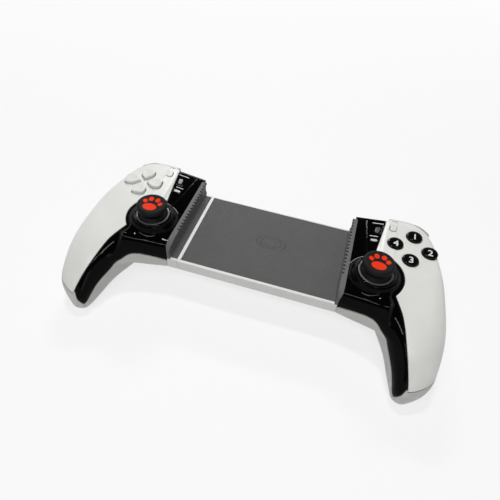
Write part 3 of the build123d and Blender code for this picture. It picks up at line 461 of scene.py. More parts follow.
SURFACE_INPUTS = dict.fromkeys(("Mottle", "Grain", "Roughness", "Smudge", "Seam"), "Float")
SURFACE_INPUTS |= {"Colour": "Color", "Seam Colour": "Color"}
SURFACE_OUTPUTS = {"Colour": "Color", "Roughness": "Float", "Height": "Float"}
plastic, given, put_out = new_group("moulded surface", SURFACE_INPUTS, SURFACE_OUTPUTS)
place = on_object(plastic)
drift = add_node(plastic, "TexNoise", {"Vector": place, "Scale": 38.0, "Detail": 3.0})
smear = add_node(plastic, "TexNoise", {"Vector": place, "Scale": 210.0, "Detail": 4.0, "Distortion": 0.6})
grain = add_node(plastic, "TexNoise", {"Vector": place, "Scale": (given, "Grain"), "Detail": 1.5})
shade = ramp(plastic, (drift, "Fac"), 0.3, 0.7, 0.72, 1.0)
tinted = mixed(plastic, (given, "Mottle"), (given, "Colour"), shade, "MULTIPLY")
# painted shade: near a seam the colour is mixed in patches towards the dark seam colour; on the black trim the
# same mix lays light dust
seam = add_node(plastic, "Attribute", {}, attribute_name="seam")
patchy = ramp(plastic, (smear, "Fac"), 0.3, 0.65, 0.35, 1.0)
seam_shade_and_dust = calculated(plastic, "MULTIPLY", (seam, "Fac"), patchy)
seam_shade_and_dust_share = calculated(plastic, "MULTIPLY", seam_shade_and_dust, (given, "Seam"), clamp=True)
seam_shaded_and_dusted = mixed(plastic, seam_shade_and_dust_share, tinted, (given, "Seam Colour"))
centred = calculated(plastic, "SUBTRACT", (smear, "Fac"), 0.5)
rough = calculated(plastic, "MULTIPLY_ADD", centred, (given, "Smudge"), (given, "Roughness"), clamp=True)
feed(plastic, put_out, {"Colour": seam_shaded_and_dusted, "Roughness": rough, "Height": (grain, "Fac")})
# dark colour of the painted shade at the seams
SEAM_SHADE = (0.1, 0.09, 0.08)


def moulded(
    name, colour, roughness, smudge, mottle=0.4, grain=2200.0, depth=0.01, seam=0.5, seam_colour=SEAM_SHADE, **shader
):
    """Material of a moulded plastic or rubber. Depth is the grain's height in millimetres; the other
    words are values of the Principled shader."""
    finish = bpy.data.materials.new(name)
    finish.use_nodes = True
    tree = finish.node_tree
    values = (mottle, grain, roughness, smudge, seam, (*colour, 1), (*seam_colour, 1))
    surface = add_node(tree, "Group", dict(zip(SURFACE_INPUTS, values)), node_tree=plastic)
    bump = add_node(tree, "Bump", {"Distance": depth * MM, "Height": (surface, "Height")})
    inputs = {key.replace("_", " "): value for key, value in shader.items()}
    inputs |= {"Base Color": (surface, "Colour"), "Roughness": (surface, "Roughness")}
    feed(tree, tree.nodes["Principled BSDF"], inputs | {"Normal": (bump, "Normal")})
    return finish


def parts_of(finish):
    """A moulded material's tree, its Principled node and the colour and normal that it has so far."""
    nodes = finish.node_tree.nodes
    surface = next(node for node in nodes if node.type == "GROUP")
    bump = next(node for node in nodes if node.type == "BUMP")
    return finish.node_tree, nodes["Principled BSDF"], (surface, "Colour"), (bump, "Normal")


def dress(piece, finish, body, slot, *nodes):
    """Give a piece its material, its body and the CAD nodes that it stands for; the slot is not used."""
    piece.data.materials.clear()
    piece.data.materials.append(finish)
    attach(piece, body)
    if nodes:
        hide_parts(*nodes)


def mark_seams(piece, near):
    """Store how near each point is to a seam, 0 to 1, for the painted seam shade and the dust."""
    layer = piece.data.attributes.new("seam", "FLOAT", "POINT")
    layer.data.foreach_set("value", near.astype(np.float32))


# Back shells
# The light lower casings, moulded with a fine matt grain, their white darkened to grey with painted shade
# and darker still at the seams. Each has four wells for its screws, driven from below, and a lined opening
# at the back for the trigger.
# painted shade: a grey in place of the white, and darkened at the seams
shaded_shell_plastic = moulded("matt shell plastic with painted shade", (0.62, 0.61, 0.59), 0.5, 0.12, grain=2600.0, depth=0.02, seam=0.6)
# each screw's place and the height of its head's seat
SCREWS = ((9.0, 30.0, -4.8), (7.3, -28.0, -4.8), (58.5, -9.0, -4.8), (50.0, -50.0, -16.2))
WELL_RADIUS, WELL_WALL, LINER_WALL = 2.5, 0.8, 1.6
LINER_INSET = 0.35  # wells and liner end this far inside the form
WELL_LEFT, WELL_RIGHT, WELL_FRONT, WELL_ROOF = 27.5, 48.5, 32.5, -0.1  # the trigger's opening


def clear_of_screws(x, y, z):
    """Distance outside the nearest screw well, on the underside only."""
    away = np.min([np.hypot(x - sx, y - sy) for sx, sy, _ in SCREWS], axis=0) - WELL_RADIUS
    return np.where(z < -4, away, 9)


def trigger_well_field(x, y, z):
    """Distance from the trigger's opening, a box open downwards and backwards."""
    return np.maximum(np.maximum(WELL_LEFT - x, x - WELL_RIGHT), np.maximum(WELL_FRONT - y, z - WELL_ROOF))


def screw_well_field(x, y, z):
    """Distance from the tubes round the screws, closed above each head."""
    result = np.full(np.shape(x), 9.0)
    for sx, sy, seat in SCREWS:
        away = np.hypot(x - sx, y - sy)
        tube = np.maximum(away - WELL_RADIUS - WELL_WALL, z - seat - 1.6)
        bore = np.maximum(away - WELL_RADIUS + 0.1, z - seat - 0.9)
        result = np.minimum(result, smooth_max(tube, -bore, 0.2))
    return np.maximum(result, handle_field(x, y, z) + LINER_INSET)


def trigger_liner_field(x, y, z):
    """Distance from the walls round the trigger's opening: the opening grown by a wall, less itself."""
    sides = np.maximum(WELL_LEFT - x, x - WELL_RIGHT) - LINER_WALL
    block = np.maximum(sides, np.maximum(WELL_FRONT - y - LINER_WALL, z - WELL_ROOF - 1.2))
    walls = smooth_max(block, -trigger_well_field(x, y, z), 0.4)
    return np.maximum(walls, handle_field(x, y, z) + LINER_INSET)


*back_mesh, back_near = skin([in_back, clear_of_screws, trigger_well_field], sink=0.12)
liner_mesh = surface_of(trigger_liner_field, (25.0, 30.0, -16.0), (51.0, 43.0, 2.0), 0.5)
well_meshes = [
    surface_of(screw_well_field, (sx - 4, sy - 4, seat - 18), (sx + 4, sy + 4, seat + 3), 0.35)
    for sx, sy, seat in SCREWS
]
for side, word in SIDES:
    shell = new_piece(f"{word}_back_skin", *back_mesh, side)
    mark_seams(shell, back_near)
    dress(give_wall(shell, WALL), shaded_shell_plastic, f"{word}_half", "white_shell", f"{word}_back_shell")
    liner = new_piece(f"{word}_trigger_liner", *liner_mesh, side)
    dress(liner, shaded_shell_plastic, f"{word}_half", "white_shell")
    for index, well_mesh in enumerate(well_meshes):
        well = new_piece(f"{word}_screw_well_{index + 1}", *well_mesh, side)
        dress(well, shaded_shell_plastic, f"{word}_half", "white_shell")


# White covers
# Satin off-white mouldings over the outer side of each handle. Four holes take the face buttons at the
# right and the keys of the direction pad at the left; one more is for the menu button.
# painted shade: this seam colour darkens the cover's edges towards its seams
cover_plastic = moulded(
    "satin white cover", (0.83, 0.83, 0.8), 0.36, 0.1, 0.25, 2400.0, 0.006, seam_colour=(0.2, 0.19, 0.17)
)
CLUSTER_X, CLUSTER_Y, CLUSTER_PITCH = 43.0, 17.4, 11.7
CLUSTER_TURN = -4.0  # degrees, so that the top button stands further out
BUTTON_RADIUS = 5.35
HOLE_ROOM = 0.3 - SEAM_GAP  # a hole's width round its button, less the seam's own
BACK_WALL_Y = 39.5  # what lies further back belongs to the back wall
QUARTERS = (0, 90, 180, 270)


def cluster_place(turn, pitch):
    """Place at the pitch from the cluster's middle, by its turn in degrees."""
    angle = radians(turn + CLUSTER_TURN)
    return CLUSTER_X + pitch * cos(angle), CLUSTER_Y + pitch * sin(angle)


def round_outline(cx, cy, radius):
    """Distance from a circle."""
    return lambda x, y: np.hypot(x - cx, y - cy) - radius


def rounded_box(u, v, half_u, half_v, radius):
    """Distance from a rectangle with rounded corners, from its middle."""
    over_u = np.abs(u) - half_u + radius
    over_v = np.abs(v) - half_v + radius
    inside = np.minimum(np.maximum(over_u, over_v), 0)
    return np.hypot(np.maximum(over_u, 0), np.maximum(over_v, 0)) + inside - radius


KEY_MIDDLE, KEY_HALF_LENGTH, KEY_HALF_WIDTH, KEY_CORNER = 7.6, 6.3, 4.9, 2.8
POINT_START, POINT_RUN, POINT_SIDE = 2.4, 5.2, 7.1  # of its point, and the length of a slanted side


def key_outline(turn, grow=0.0):
    """Distance from one key of the pad: a rounded rectangle whose inner end is cut to a point by two
    slanted lines, which gain half the key's width over the point's run."""
    angle = radians(turn + CLUSTER_TURN)
    c, s = cos(angle), sin(angle)

    def outline(x, y):
        along = c * (x - CLUSTER_X) + s * (y - CLUSTER_Y)
        across = np.abs(c * (y - CLUSTER_Y) - s * (x - CLUSTER_X))
        body = rounded_box(along - KEY_MIDDLE, across, KEY_HALF_LENGTH, KEY_HALF_WIDTH, KEY_CORNER)
        point = (across * POINT_RUN - (along - POINT_START) * KEY_HALF_WIDTH) / POINT_SIDE
        return smooth_max(body, point, 1.6) - grow

    return outline


STRIP_TURN = radians(-7)  # the border's slant at the strip


def strip_outline(cx, cy, width, length, grow=0.0):
    """Distance from a small rounded button that lies along the border."""
    c, s = cos(STRIP_TURN), sin(STRIP_TURN)
    radius = min(width, length) / 2.6 + grow

    def outline(x, y):
        u = c * (x - cx) + s * (y - cy)
        v = c * (y - cy) - s * (x - cx)
        return rounded_box(u, v, width / 2 + grow, length / 2 + grow, radius)

    return outline


def hole(outline):
    """Seam round a hole in the top, from its outline."""
    return lambda x, y, z: np.where(z > 0, outline(x, y), 9)


MENU = (28.8, 33.2, 4.4, 6.2)  # the menu button's middle, width and length
cover_seams = [outside_border, above_cover_edge, hole(strip_outline(*MENU, HOLE_ROOM))]


def back_hole(cx, cz, half_x, half_z, corner):
    """Seam round an opening in the back wall, a rounded rectangle seen from behind."""
    return lambda x, y, z: np.where(y > BACK_WALL_Y, rounded_box(x - cx, z - cz, half_x, half_z, corner), 9)


cover_seams.append(back_hole(36.0, 7.3, 5.25, 2.15, 0.3))  # for the shoulder button's plunger
places = [cluster_place(turn, CLUSTER_PITCH) for turn in QUARTERS]
for side, word in SIDES:
    if side > 0:
        holes = [hole(round_outline(cx, cy, BUTTON_RADIUS + HOLE_ROOM)) for cx, cy in places]
    else:
        holes = [hole(key_outline(turn, HOLE_ROOM)) for turn in QUARTERS]
    *cover_mesh, near = skin(cover_seams + holes)
    cover = new_piece(f"{word}_cover_skin", *cover_mesh, side)
    mark_seams(cover, near)
    dress(give_wall(cover, WALL), cover_plastic, f"{word}_half", "white_cover", f"{word}_front_cover")


# Black trims
# Piano-black mouldings polished in the tool: the strip beside the jaw, the raised rim of the stick and
# the inner side of the grip, in one piece, a quarter of a millimetre below the white cover.
BLACK = (0.0012, 0.0012, 0.0013)
DUST = {"seam": 0.1, "seam_colour": (0.05, 0.05, 0.05)}
trim_gloss = moulded("piano black", BLACK, 0.05, 0.04, 0.2, 160.0, 0.003, **DUST, Specular_IOR_Level=0.055)
# middle, width and length of the function button and the lens
FUNCTION = (18.3, 29.0, 3.6, 6.2)
LENS = (16.9, 18.9, 4.8, 2.1)
TRIM_SINK, RING_SEAT = 0.25, 11.45
GROOVE = np.array([(9.4, 38.6), (11.6, 20.0), (14.4, 4.0), (13.6, 0.4)])
GROOVE_WIDTH, GROOVE_DEPTH = 0.45, 0.35


def lens_outline(x, y):
    """Distance from the lens, a slot lying across the strip."""
    return rounded_box(x - LENS[0], y - LENS[1], LENS[2] / 2, LENS[3] / 2, LENS[3] / 2)


def groove(points, faces):
    """Press a shallow V groove along its line in plan, deepest on the line itself."""

    def away(place):
        x, y, z = place.T
        side_of_line = np.sign(x - np.interp(-y, -GROOVE[:, 1], GROOVE[:, 0]))
        return np.where(z > 8, side_of_line * line_distance(x, y, GROOVE), 9)

    for level in (-GROOVE_WIDTH, 0, GROOVE_WIDTH):
        points, faces = cut(points, faces, lambda place: away(place) - level, False)
    pressed = GROOVE_DEPTH * np.clip(1 - np.abs(away(points)) / GROOVE_WIDTH, 0, 1)
    return points - pressed[:, None] * (0, 0, 1), faces


port_hole = back_hole(13.0, 5.2, 4.85, 2.0, 1.99)
trim_holes = [round_outline(STICK_X, STICK_Y, RING_SEAT), strip_outline(*FUNCTION, HOLE_ROOM), lens_outline]
trim_seams = [lambda *place: -outside_border(*place), above_trim_edge, *map(hole, trim_holes)]
for side, word in SIDES:
    points, faces, _ = skin(trim_seams + ([port_hole] if side > 0 else []), sink=TRIM_SINK)
    points, faces = groove(points, faces)
    trim = new_piece(f"{word}_trim_skin", points, faces, side)
    nearest = np.min([seam(*points.T) for seam in trim_seams[:2]], axis=0)
    mark_seams(trim, np.clip(1.2 - nearest, 0, 1))
    dress(give_wall(trim, WALL), trim_gloss, f"{word}_half", "black_trim", f"{word}_trim")


# Face buttons
# Four round caps in gloss black at the right thumb, each with a flange that its collar holds down. The
# marks are plain white numerals let into the crown.
button_gloss = moulded(
    "gloss black buttons", (0.003, 0.003, 0.003), 0.07, 0.06, 0.2, 300.0, 0.003, Specular_IOR_Level=0.15
)
mark_white = moulded("white marks", (0.8, 0.8, 0.8), 0.45, 0.1, depth=0.003)
BUTTON_TOP, BUTTON_BOTTOM, CROWN_RADIUS = 15.9, 7.7, 4.75
FLANGE_RADIUS, FLANGE_LOW, FLANGE_HIGH = 5.95, 9.9, 11.1


def weld(points, faces):
    """Join points that coincide and drop the faces that close up."""
    _, first, which = np.unique(np.round(points, 5), axis=0, return_index=True, return_inverse=True)
    faces = which.reshape(-1)[triangles(faces)]
    return points[first], faces[(faces != np.roll(faces, 1, axis=1)).all(1)]


def turned(profile, centre, steps=96):
    """Profile of (radius, height) pairs carried round the upright axis through the centre. The profile
    runs from the bottom up on the outside, so that the faces point outwards."""
    angle = np.linspace(0, 2 * np.pi, steps, endpoint=False)
    radius, height = np.array(profile, float).T[..., None]
    points = np.stack([radius * np.cos(angle), radius * np.sin(angle), height + 0 * angle], -1) + centre
    row, column = np.indices((len(profile) - 1, steps))
    after = (column + 1) % steps
    low, high = row * steps, (row + 1) * steps
    quads = np.stack([low + column, low + after, high + after, high + column], -1)
    return weld(points.reshape(-1, 3), quads.reshape(-1, 4))


def quarter(cx, cz, radius_x, radius_z, start, end, steps=8):
    """Points of an oval arc in a profile, by angle from the outward direction."""
    angle = np.radians(np.linspace(start, end, steps))
    return [(cx + radius_x * cos(a), cz + radius_z * sin(a)) for a in angle]


button_profile = [
    (0, BUTTON_BOTTOM),
    (BUTTON_RADIUS, BUTTON_BOTTOM),
    (BUTTON_RADIUS, FLANGE_LOW),
    (FLANGE_RADIUS, FLANGE_LOW),
    (FLANGE_RADIUS, FLANGE_HIGH),
    (BUTTON_RADIUS, FLANGE_HIGH),
    *quarter(CROWN_RADIUS, BUTTON_TOP - 0.75, 0.6, 0.53, 0, 80),
    *[(r, BUTTON_TOP - 0.2 * (r / CROWN_RADIUS) ** 8) for r in np.linspace(CROWN_RADIUS, 0, 14)],
]
NUMERAL_SIZE, NUMERAL_LOWER, NUMERAL_SINK = 7.6, 0.7, 0.07
for (cx, cy), name, numeral in zip(places, ("right", "top", "left", "bottom"), "2143"):
    button = new_piece(f"face_cap_{name}", *turned(button_profile, (cx, cy, 0)))
    dress(button, button_gloss, f"face_button_{name}", "black_button", f"face_button_{name}")
    figure = bpy.data.curves.new(f"numeral_{name}", "FONT")
    figure.body = numeral
    figure.size = NUMERAL_SIZE
    figure.offset = 0.1
    figure.extrude = 0.12
    holder = place_object("holder", figure)
    bpy.context.view_layer.update()
    flat = bpy.data.meshes.new_from_object(holder)
    bpy.data.objects.remove(holder)
    co = np.empty((len(flat.vertices), 3), np.float32)
    flat.vertices.foreach_get("co", co.ravel())
    middle = (co.min(0) + co.max(0)) / 2 * (1, 1, 0)
    co = (co - middle + (JAW + cx, cy - NUMERAL_LOWER, BUTTON_TOP - NUMERAL_SINK)) * MM
    flat.vertices.foreach_set("co", co.astype(np.float32).ravel())
    numeral_piece = place_object(f"numeral_{name}", flat)
    dress(numeral_piece, mark_white, f"face_button_{name}", "black_button")


# Direction pad
# Four separate white keys at the left thumb, pointed towards each other, with softly rounded tops. They
# are hard satin plastic and stand on the domes of a rubber sheet.
KEY_TOP, KEY_BOTTOM, KEY_CENTRE, KEY_REACH = 16.6, 9.0, 8.6, 7.2
key_plastic = moulded("satin white keys", (0.80, 0.80, 0.77), 0.3, 0.1, mottle=0.2, depth=0.004)
for turn, name in zip(QUARTERS, ("left", "up", "right", "down")):
    outline = key_outline(turn)

    def key_field(x, y, z):
        """Distance from the key: its outline, a dished top rounded over 0.9, and a flat bottom."""
        side_wall = outline(x, y)
        dish = 0.2 * np.clip(-side_wall / 4.0, 0, 1)
        return np.maximum(smooth_max(side_wall, z - KEY_TOP + dish, 0.9), KEY_BOTTOM - z)

    cx, cy = cluster_place(turn, KEY_CENTRE)
    low, high = (cx - KEY_REACH, cy - KEY_REACH, 8.5), (cx + KEY_REACH, cy + KEY_REACH, 18.0)
    key = new_piece(f"pad_key_{name}", *surface_of(key_field, low, high, 0.32), -1)
    dress(key, key_plastic, f"dpad_{name}", "white_button", f"dpad_{name}")


# Small buttons and lenses
# On each handle a white menu button, a dark function button on the strip and a milky lens that carries
# the status light up from the board.
CLEAR = {"mottle": 0.1, "depth": 0.002, "IOR": 1.49}
lens_milk = moulded("milky lens", (0.75, 0.77, 0.78), 0.18, 0.05, **CLEAR, Transmission_Weight=0.25)
dark_button = moulded("dark grey button", (0.02, 0.02, 0.021), 0.3, 0.1, depth=0.004)


def above_strip(rise):
    """Height by x, at the rise above the black strip, which slopes up from the jaw."""
    return lambda x: STRIP_LOW + STRIP_RISE * (x - JAW_FACE) / STRIP_RUN - TRIM_SINK + rise


def button_on(outline, height, rounding):
    """Field of a small button or lens: its outline under a rounded top."""
    return lambda x, y, z: np.maximum(smooth_max(outline(x, y), z - height(x), rounding), KEY_BOTTOM - z)


SMALL = (
    ("menu", MENU, strip_outline(*MENU), lambda x: 15.1, 0.5, key_plastic, "white_button"),
    ("function", FUNCTION, strip_outline(*FUNCTION), above_strip(0.9), 0.6, dark_button, "black_button"),
    ("lens", LENS, lens_outline, above_strip(0.12), 0.25, lens_milk, "lens"),
)
for label, (cx, cy, width, length), outline, height, rounding, finish, slot in SMALL:
    reach = max(width, length) / 2 + 1.5
    low, high = (cx - reach, cy - reach, 8.5), (cx + reach, cy + reach, 17.0)
    small_mesh = surface_of(button_on(outline, height, rounding), low, high, 0.25)
    for side, word in SIDES:
        small = new_piece(f"{word}_{label}_piece", *small_mesh, side)
        button = f"{word}_{label}_button"
        body, node = (f"{word}_half", f"{word}_status_lens") if label == "lens" else (button, button)
        dress(small, finish, body, slot, node)


# Printed labels
# A short dash beside each small button and lens, printed light on the strip and grey on the cover, and
# standing a few hundredths of a millimetre above it.
mark_grey = moulded("grey marks", (0.12, 0.12, 0.12), 0.5, 0.1, depth=0.003)


def printed_dash(x_from, x_to, y, sink, width=0.7, columns=20):
    """Top of a dash on the casing. Each point comes down by what the field says is free below it, until
    nothing is left."""
    x, y = np.meshgrid(np.linspace(x_from, x_to, columns), [y - width / 2, y + width / 2])
    x, y = x.ravel(), y.ravel()
    z = np.full(len(x), 20.0)
    for _ in range(40):
        z -= handle_field(x, y, z)
    corner = np.arange(columns - 1)[:, None]
    return np.stack([x, y, z - sink + 0.04], 1), corner + [0, 1, columns + 1, columns]


DASHES = (
    ("function_label", (14.3, 22.1, 36.7, TRIM_SINK), mark_white, "black_trim"),
    ("lens_label", (13.6, 19.2, 22.8, TRIM_SINK), mark_white, "black_trim"),
    ("menu_label", (27.4, 32.0, 41.0, 0.0), mark_grey, "white_cover"),
)
for name, shape, finish, slot in DASHES:
    for side, word in SIDES:
        dash = new_piece(f"{word}_{name}", *printed_dash(*shape), side)
        dress(give_wall(dash, 0.1 * MM), finish, f"{word}_half", slot)


# Thumb sticks
# A matt rubber-coated cap with a dished top on a domed skirt, which closes the hole in the rim at any
# tilt. The print on top is orange-red: a round pad with four toes.
PRINT_SPOTS = (  # middle, radii and turn of each oval
    (-0.2, -3.0, 4.7, 3.5, 0.0),
    (-5.3, 1.7, 1.55, 1.75, 0.3),
    (-2.2, 4.6, 1.7, 1.9, 0.0),
    (2.5, 4.6, 1.7, 1.9, 0.0),
    (5.4, 1.6, 1.55, 1.75, -0.3),
)
# a place is in an oval where it has a length under 1 once it is moved, turned and scaled with the oval
SPOT_INPUTS = dict.fromkeys(("Vector", "Location", "Rotation", "Scale"), "Vector")
spot_group, given, put_out = new_group("oval spot", SPOT_INPUTS, {"Mask": "Float"})
spot_values = {socket: (given, socket) for socket in SPOT_INPUTS}
spot_map = add_node(spot_group, "Mapping", spot_values, vector_type="TEXTURE")
spot_length = add_node(spot_group, "VectorMath", {0: (spot_map, "Vector")}, operation="LENGTH")
feed(spot_group, put_out, {"Mask": ramp(spot_group, (spot_length, "Value"), 1.03, 0.97, 0.0, 1.0)})

CAP_RADIUS, CAP_TOP, DOME_RADIUS = 10.3, 19.0, 13.4
PRINT_LEVEL = (PIVOT_Z + CAP_TOP - 1.5) * MM  # the print keeps above it
PRINT_RED = (0.86, 0.035, 0.004, 1)
dome_angles = np.radians(np.linspace(58, 20.4, 14))
cap_profile = [
    *[(DOME_RADIUS * sin(a), DOME_RADIUS * cos(a)) for a in dome_angles],
    (4.6, 12.9),
    (4.7, 14.0),
    *quarter(5.7, 14.0, 1.0, 1.0, 180, 100, 5),
    (8.8, 15.2),
    *quarter(9.2, 16.3, 1.1, 1.1, -80, 0, 7),
    (CAP_RADIUS, 17.4),
    *quarter(8.8, 17.5, 1.5, 1.5, 0, 88, 10),
    *[(r, CAP_TOP - 0.6 * (1 - (r / 8.8) ** 2) ** 1.5) for r in np.linspace(8.5, 0, 16)],
]
for side, word in SIDES:
    name, black = f"{word} stick rubber", (0.006, 0.006, 0.006)
    rubber = moulded(name, black, 0.55, 0.16, 0.5, 1500.0, 0.03, Specular_IOR_Level=0.13)
    tree, principled, colour, _ = parts_of(rubber)
    place = on_object(tree)
    to_centre = {"Vector": place, "Location": (-side * (JAW + STICK_X), -STICK_Y, 0), "Scale": (1000, 1000, 0)}
    from_centre = (add_node(tree, "Mapping", to_centre), "Vector")
    height = add_node(tree, "SeparateXYZ", {"Vector": place})
    widest = 0.0
    for cx, cy, rx, ry, turn in PRINT_SPOTS:
        oval = {"Vector": from_centre, "Location": (cx, cy, 0), "Rotation": (0, 0, turn), "Scale": (rx, ry, 1)}
        spot = add_node(tree, "Group", oval, node_tree=spot_group)
        widest = calculated(tree, "MAXIMUM", widest, (spot, "Mask"))
    printed = calculated(tree, "MULTIPLY", widest, calculated(tree, "GREATER_THAN", (height, "Z"), PRINT_LEVEL))
    feed(tree, principled, {"Base Color": mixed(tree, printed, colour, PRINT_RED)})
    centre = (STICK_X, STICK_Y, PIVOT_Z)
    cap = new_piece(f"{word}_thumb_cap", *turned(cap_profile, centre, 128), side)
    dress(give_wall(cap, 0.6 * MM), rubber, f"{word}_stick", "stick_rubber", f"{word}_stick_cap")


# Light rings
# A smoky translucent ring let into the top of each rim, a moulding clamped between the trim and the
# stick's housing and lit from the board in use.
RING_INNER, RING_OUTER, RING_BOTTOM = 10.1, 11.4, 17.6
ring_smoke = moulded("smoky ring", (0.15, 0.153, 0.157), 0.22, 0.05, **CLEAR, Transmission_Weight=0.2)
ring_profile = [
    (RING_INNER, RING_BOTTOM),
    (RING_OUTER, RING_BOTTOM),
    *quarter(RING_OUTER - 0.3, 18.2, 0.3, 0.25, 0, 90, 4),
    *quarter(RING_INNER + 0.3, 18.2, 0.3, 0.25, 90, 180, 4),
    (RING_INNER, RING_BOTTOM),
]
for side, word in SIDES:
    ring = new_piece(f"{word}_ring_piece", *turned(ring_profile, (STICK_X, STICK_Y, 0.0), 128), side)
    dress(ring, ring_smoke, f"{word}_half", "light_ring", f"{word}_light_ring")


# Jaw linings, tray, shoulder buttons and triggers
# Boxy and plain curved mouldings whose CAD form is right: each is a copy with its loose triangles joined
# and its edges rounded as the tool leaves them.
def softened(node, name, radius, flat_angle=1.0):
    """Copy of a CAD node with merged points, flat faces joined and edges bevelled to the radius in
    millimetres."""
    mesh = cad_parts[node].data.copy()
    mesh.name = name
    shape = bmesh.new()
    shape.from_mesh(mesh)
    bmesh.ops.remove_doubles(shape, verts=shape.verts, dist=2e-6)
    flat = radians(flat_angle)
    bmesh.ops.dissolve_limit(shape, angle_limit=flat, verts=shape.verts, edges=shape.edges)
    shape.to_mesh(mesh)
    shape.free()
    for layer in ("custom_normal", "sharp_face", "sharp_edge"):
        if layer in mesh.attributes:
            mesh.attributes.remove(mesh.attributes[layer])
    mesh.shade_smooth()
    piece = place_object(name, mesh)
    edges = piece.modifiers.new("edges", "BEVEL")
    edges.width = radius * MM
    edges.segments = 2
    edges.limit_method = "ANGLE"
    edges.angle_limit = radians(32)
    edges.harden_normals = True
    return piece


pad_rubber = moulded("grey silicone", (0.12, 0.12, 0.118), 0.6, 0.15, grain=1800.0, depth=0.02)
shoulder_plastic = moulded("white shoulder plastic", (0.76, 0.76, 0.73), 0.4, 0.1, mottle=0.25, depth=0.006)
for _, word in SIDES:
    lining = softened(f"{word}_jaw_pad", f"{word}_jaw_lining", 0.2)
    dress(lining, pad_rubber, f"{word}_half", "jaw_rubber", f"{word}_jaw_pad")
    for label, radius in (("shoulder_button", 0.35), ("trigger", 0.7)):
        moving = softened(f"{word}_{label}", f"{word}_{label}_piece", radius, 0.2)
        dress(moving, shoulder_plastic, f"{word}_{label}", "shoulder_plastic", f"{word}_{label}")

tray_plastic = moulded("white tray plastic", (0.78, 0.78, 0.76), 0.42, 0.1, mottle=0.25, depth=0.006)
for node, name, body, radius in (
    ("outer_tray", "tray_sleeve", "right_half", 0.3),
    ("inner_tray", "tray_slide_piece", "left_half", 0.3),
    ("outer_tray_floor", "tray_floor", "right_half", 0.1),
):
    dress(softened(node, name, radius), tray_plastic, body, "white_shell", node)


# Tray mats
# Moulded grey rubber with fine raised dots in staggered rows, with painted shade darkening the rubber
# between the dots. The middle of the large one carries a plain lozenge of two dark printed lines.
mat_rubber = moulded("grey mat", (0.165, 0.165, 0.163), 0.62, 0.1, mottle=0.35, grain=2600.0)
tree, principled, colour, normal = parts_of(mat_rubber)
diagonal = {"Vector": on_object(tree), "Rotation": (0, 0, radians(45)), "Scale": (1, 1, 0)}
rows = {"Vector": (add_node(tree, "Mapping", diagonal), "Vector"), "Scale": 900.0, "Randomness": 0.0}
dots = add_node(tree, "TexVoronoi", rows, feature="F1")
dot_height = ramp(tree, (dots, "Distance"), 0.15, 0.45, 1.0, 0.0)
dot_bump = add_node(tree, "Bump", {"Distance": 0.15 * MM, "Height": dot_height, "Normal": normal})
# painted shade: the colour is darkened between the raised dots
painted_dot_shade = mixed(tree, 0.7, colour, dot_height, "MULTIPLY")
feed(tree, principled, {"Base Color": painted_dot_shade, "Normal": (dot_bump, "Normal")})
dress(softened("outer_tray_mat", "mat_sleeve", 0.2), mat_rubber, "right_half", "tray_mat", "outer_tray_mat")
dress(softened("inner_tray_mat", "mat_slide", 0.15), mat_rubber, "left_half", "tray_mat", "inner_tray_mat")


def outline_bar(corners, width, height, bottom):
    """Flat closed bar along the corners, width wide: inner and outer outline scaled about the middle."""
    count = len(corners)
    middle = corners.mean(0)
    away = corners - middle
    size = np.linalg.norm(away, axis=1, keepdims=True)
    half, top = width / 2, bottom + height
    rings = [
        np.column_stack([middle + away * (1 + shift / size), np.full(count, z)])
        for shift, z in ((-half, bottom), (-half, top), (half, top), (half, bottom))
    ]
    points = np.concatenate(rings)
    ring, place = np.indices((4, count))
    after = (place + 1) % count
    up = (ring + 1) % 4
    low, high = ring * count, up * count
    quads = np.stack([low + place, high + place, high + after, low + after], -1)
    return points, quads.reshape(-1, 4)


mat_print = moulded("dark mat print", (0.045, 0.045, 0.045), 0.5, 0.1, depth=0.004)
# an oval whose ends are drawn out: each of its cosine and sine to the power 0.8, with its sign kept
angle = np.linspace(0, 2 * np.pi, 64, endpoint=False)
oval = np.stack([np.cos(angle), np.sin(angle)], 1)
lozenge = np.sign(oval) * np.abs(oval) ** 0.8 * (10.5, 5.4)
middle = (4.5 - JAW, 3.0)
for index, scale in enumerate((1.0, 0.72)):
    emblem = new_piece(f"mat_lozenge_{index + 1}", *outline_bar(middle + lozenge * scale, 0.7, 0.05, -0.02))
    dress(emblem, mat_print, "right_half", "tray_mat")


# Parts inside and small metal
# The boards, stick works, springs, ribbon, battery, screws and socket keep their CAD form. They are bought
# parts that the casings enclose, seen only when the tray is open or through the openings.
board_green = moulded("green board", (0.01, 0.1, 0.035), 0.35, 0.1, depth=0.004)
works_black = moulded("black stick works", (0.02, 0.02, 0.02), 0.4, 0.1)
membrane_rubber = moulded("membrane rubber", (0.45, 0.45, 0.44), 0.6, 0.1)
ribbon_film = moulded("amber ribbon", (0.4, 0.16, 0.02), 0.3, 0.1, depth=0.002)
METAL = {"mottle": 0.3, "Metallic": 1.0}
steel = moulded("plain steel", (0.5, 0.5, 0.52), 0.32, 0.15, grain=1800.0, depth=0.004, **METAL)
foil = moulded("battery foil", (0.6, 0.6, 0.62), 0.35, 0.2, grain=400.0, depth=0.03, **METAL)
kept = {"usb_c_socket": steel, "tension_springs": steel, "link_ribbon": ribbon_film, "battery": foil}
kept |= {"face_membrane": membrane_rubber, "dpad_membrane": membrane_rubber}
for _, word in SIDES:
    kept[f"{word}_board"] = board_green
    kept |= {f"{word}_stick_{part}": works_black for part in ("housing", "rocker", "pivot")}
    kept |= {f"{word}_{part}": steel for part in ("stick_shaft", "trigger_pin", "screws")}
for node, finish in kept.items():
    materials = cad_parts[node].data.materials
    materials.clear()
    materials.append(finish)


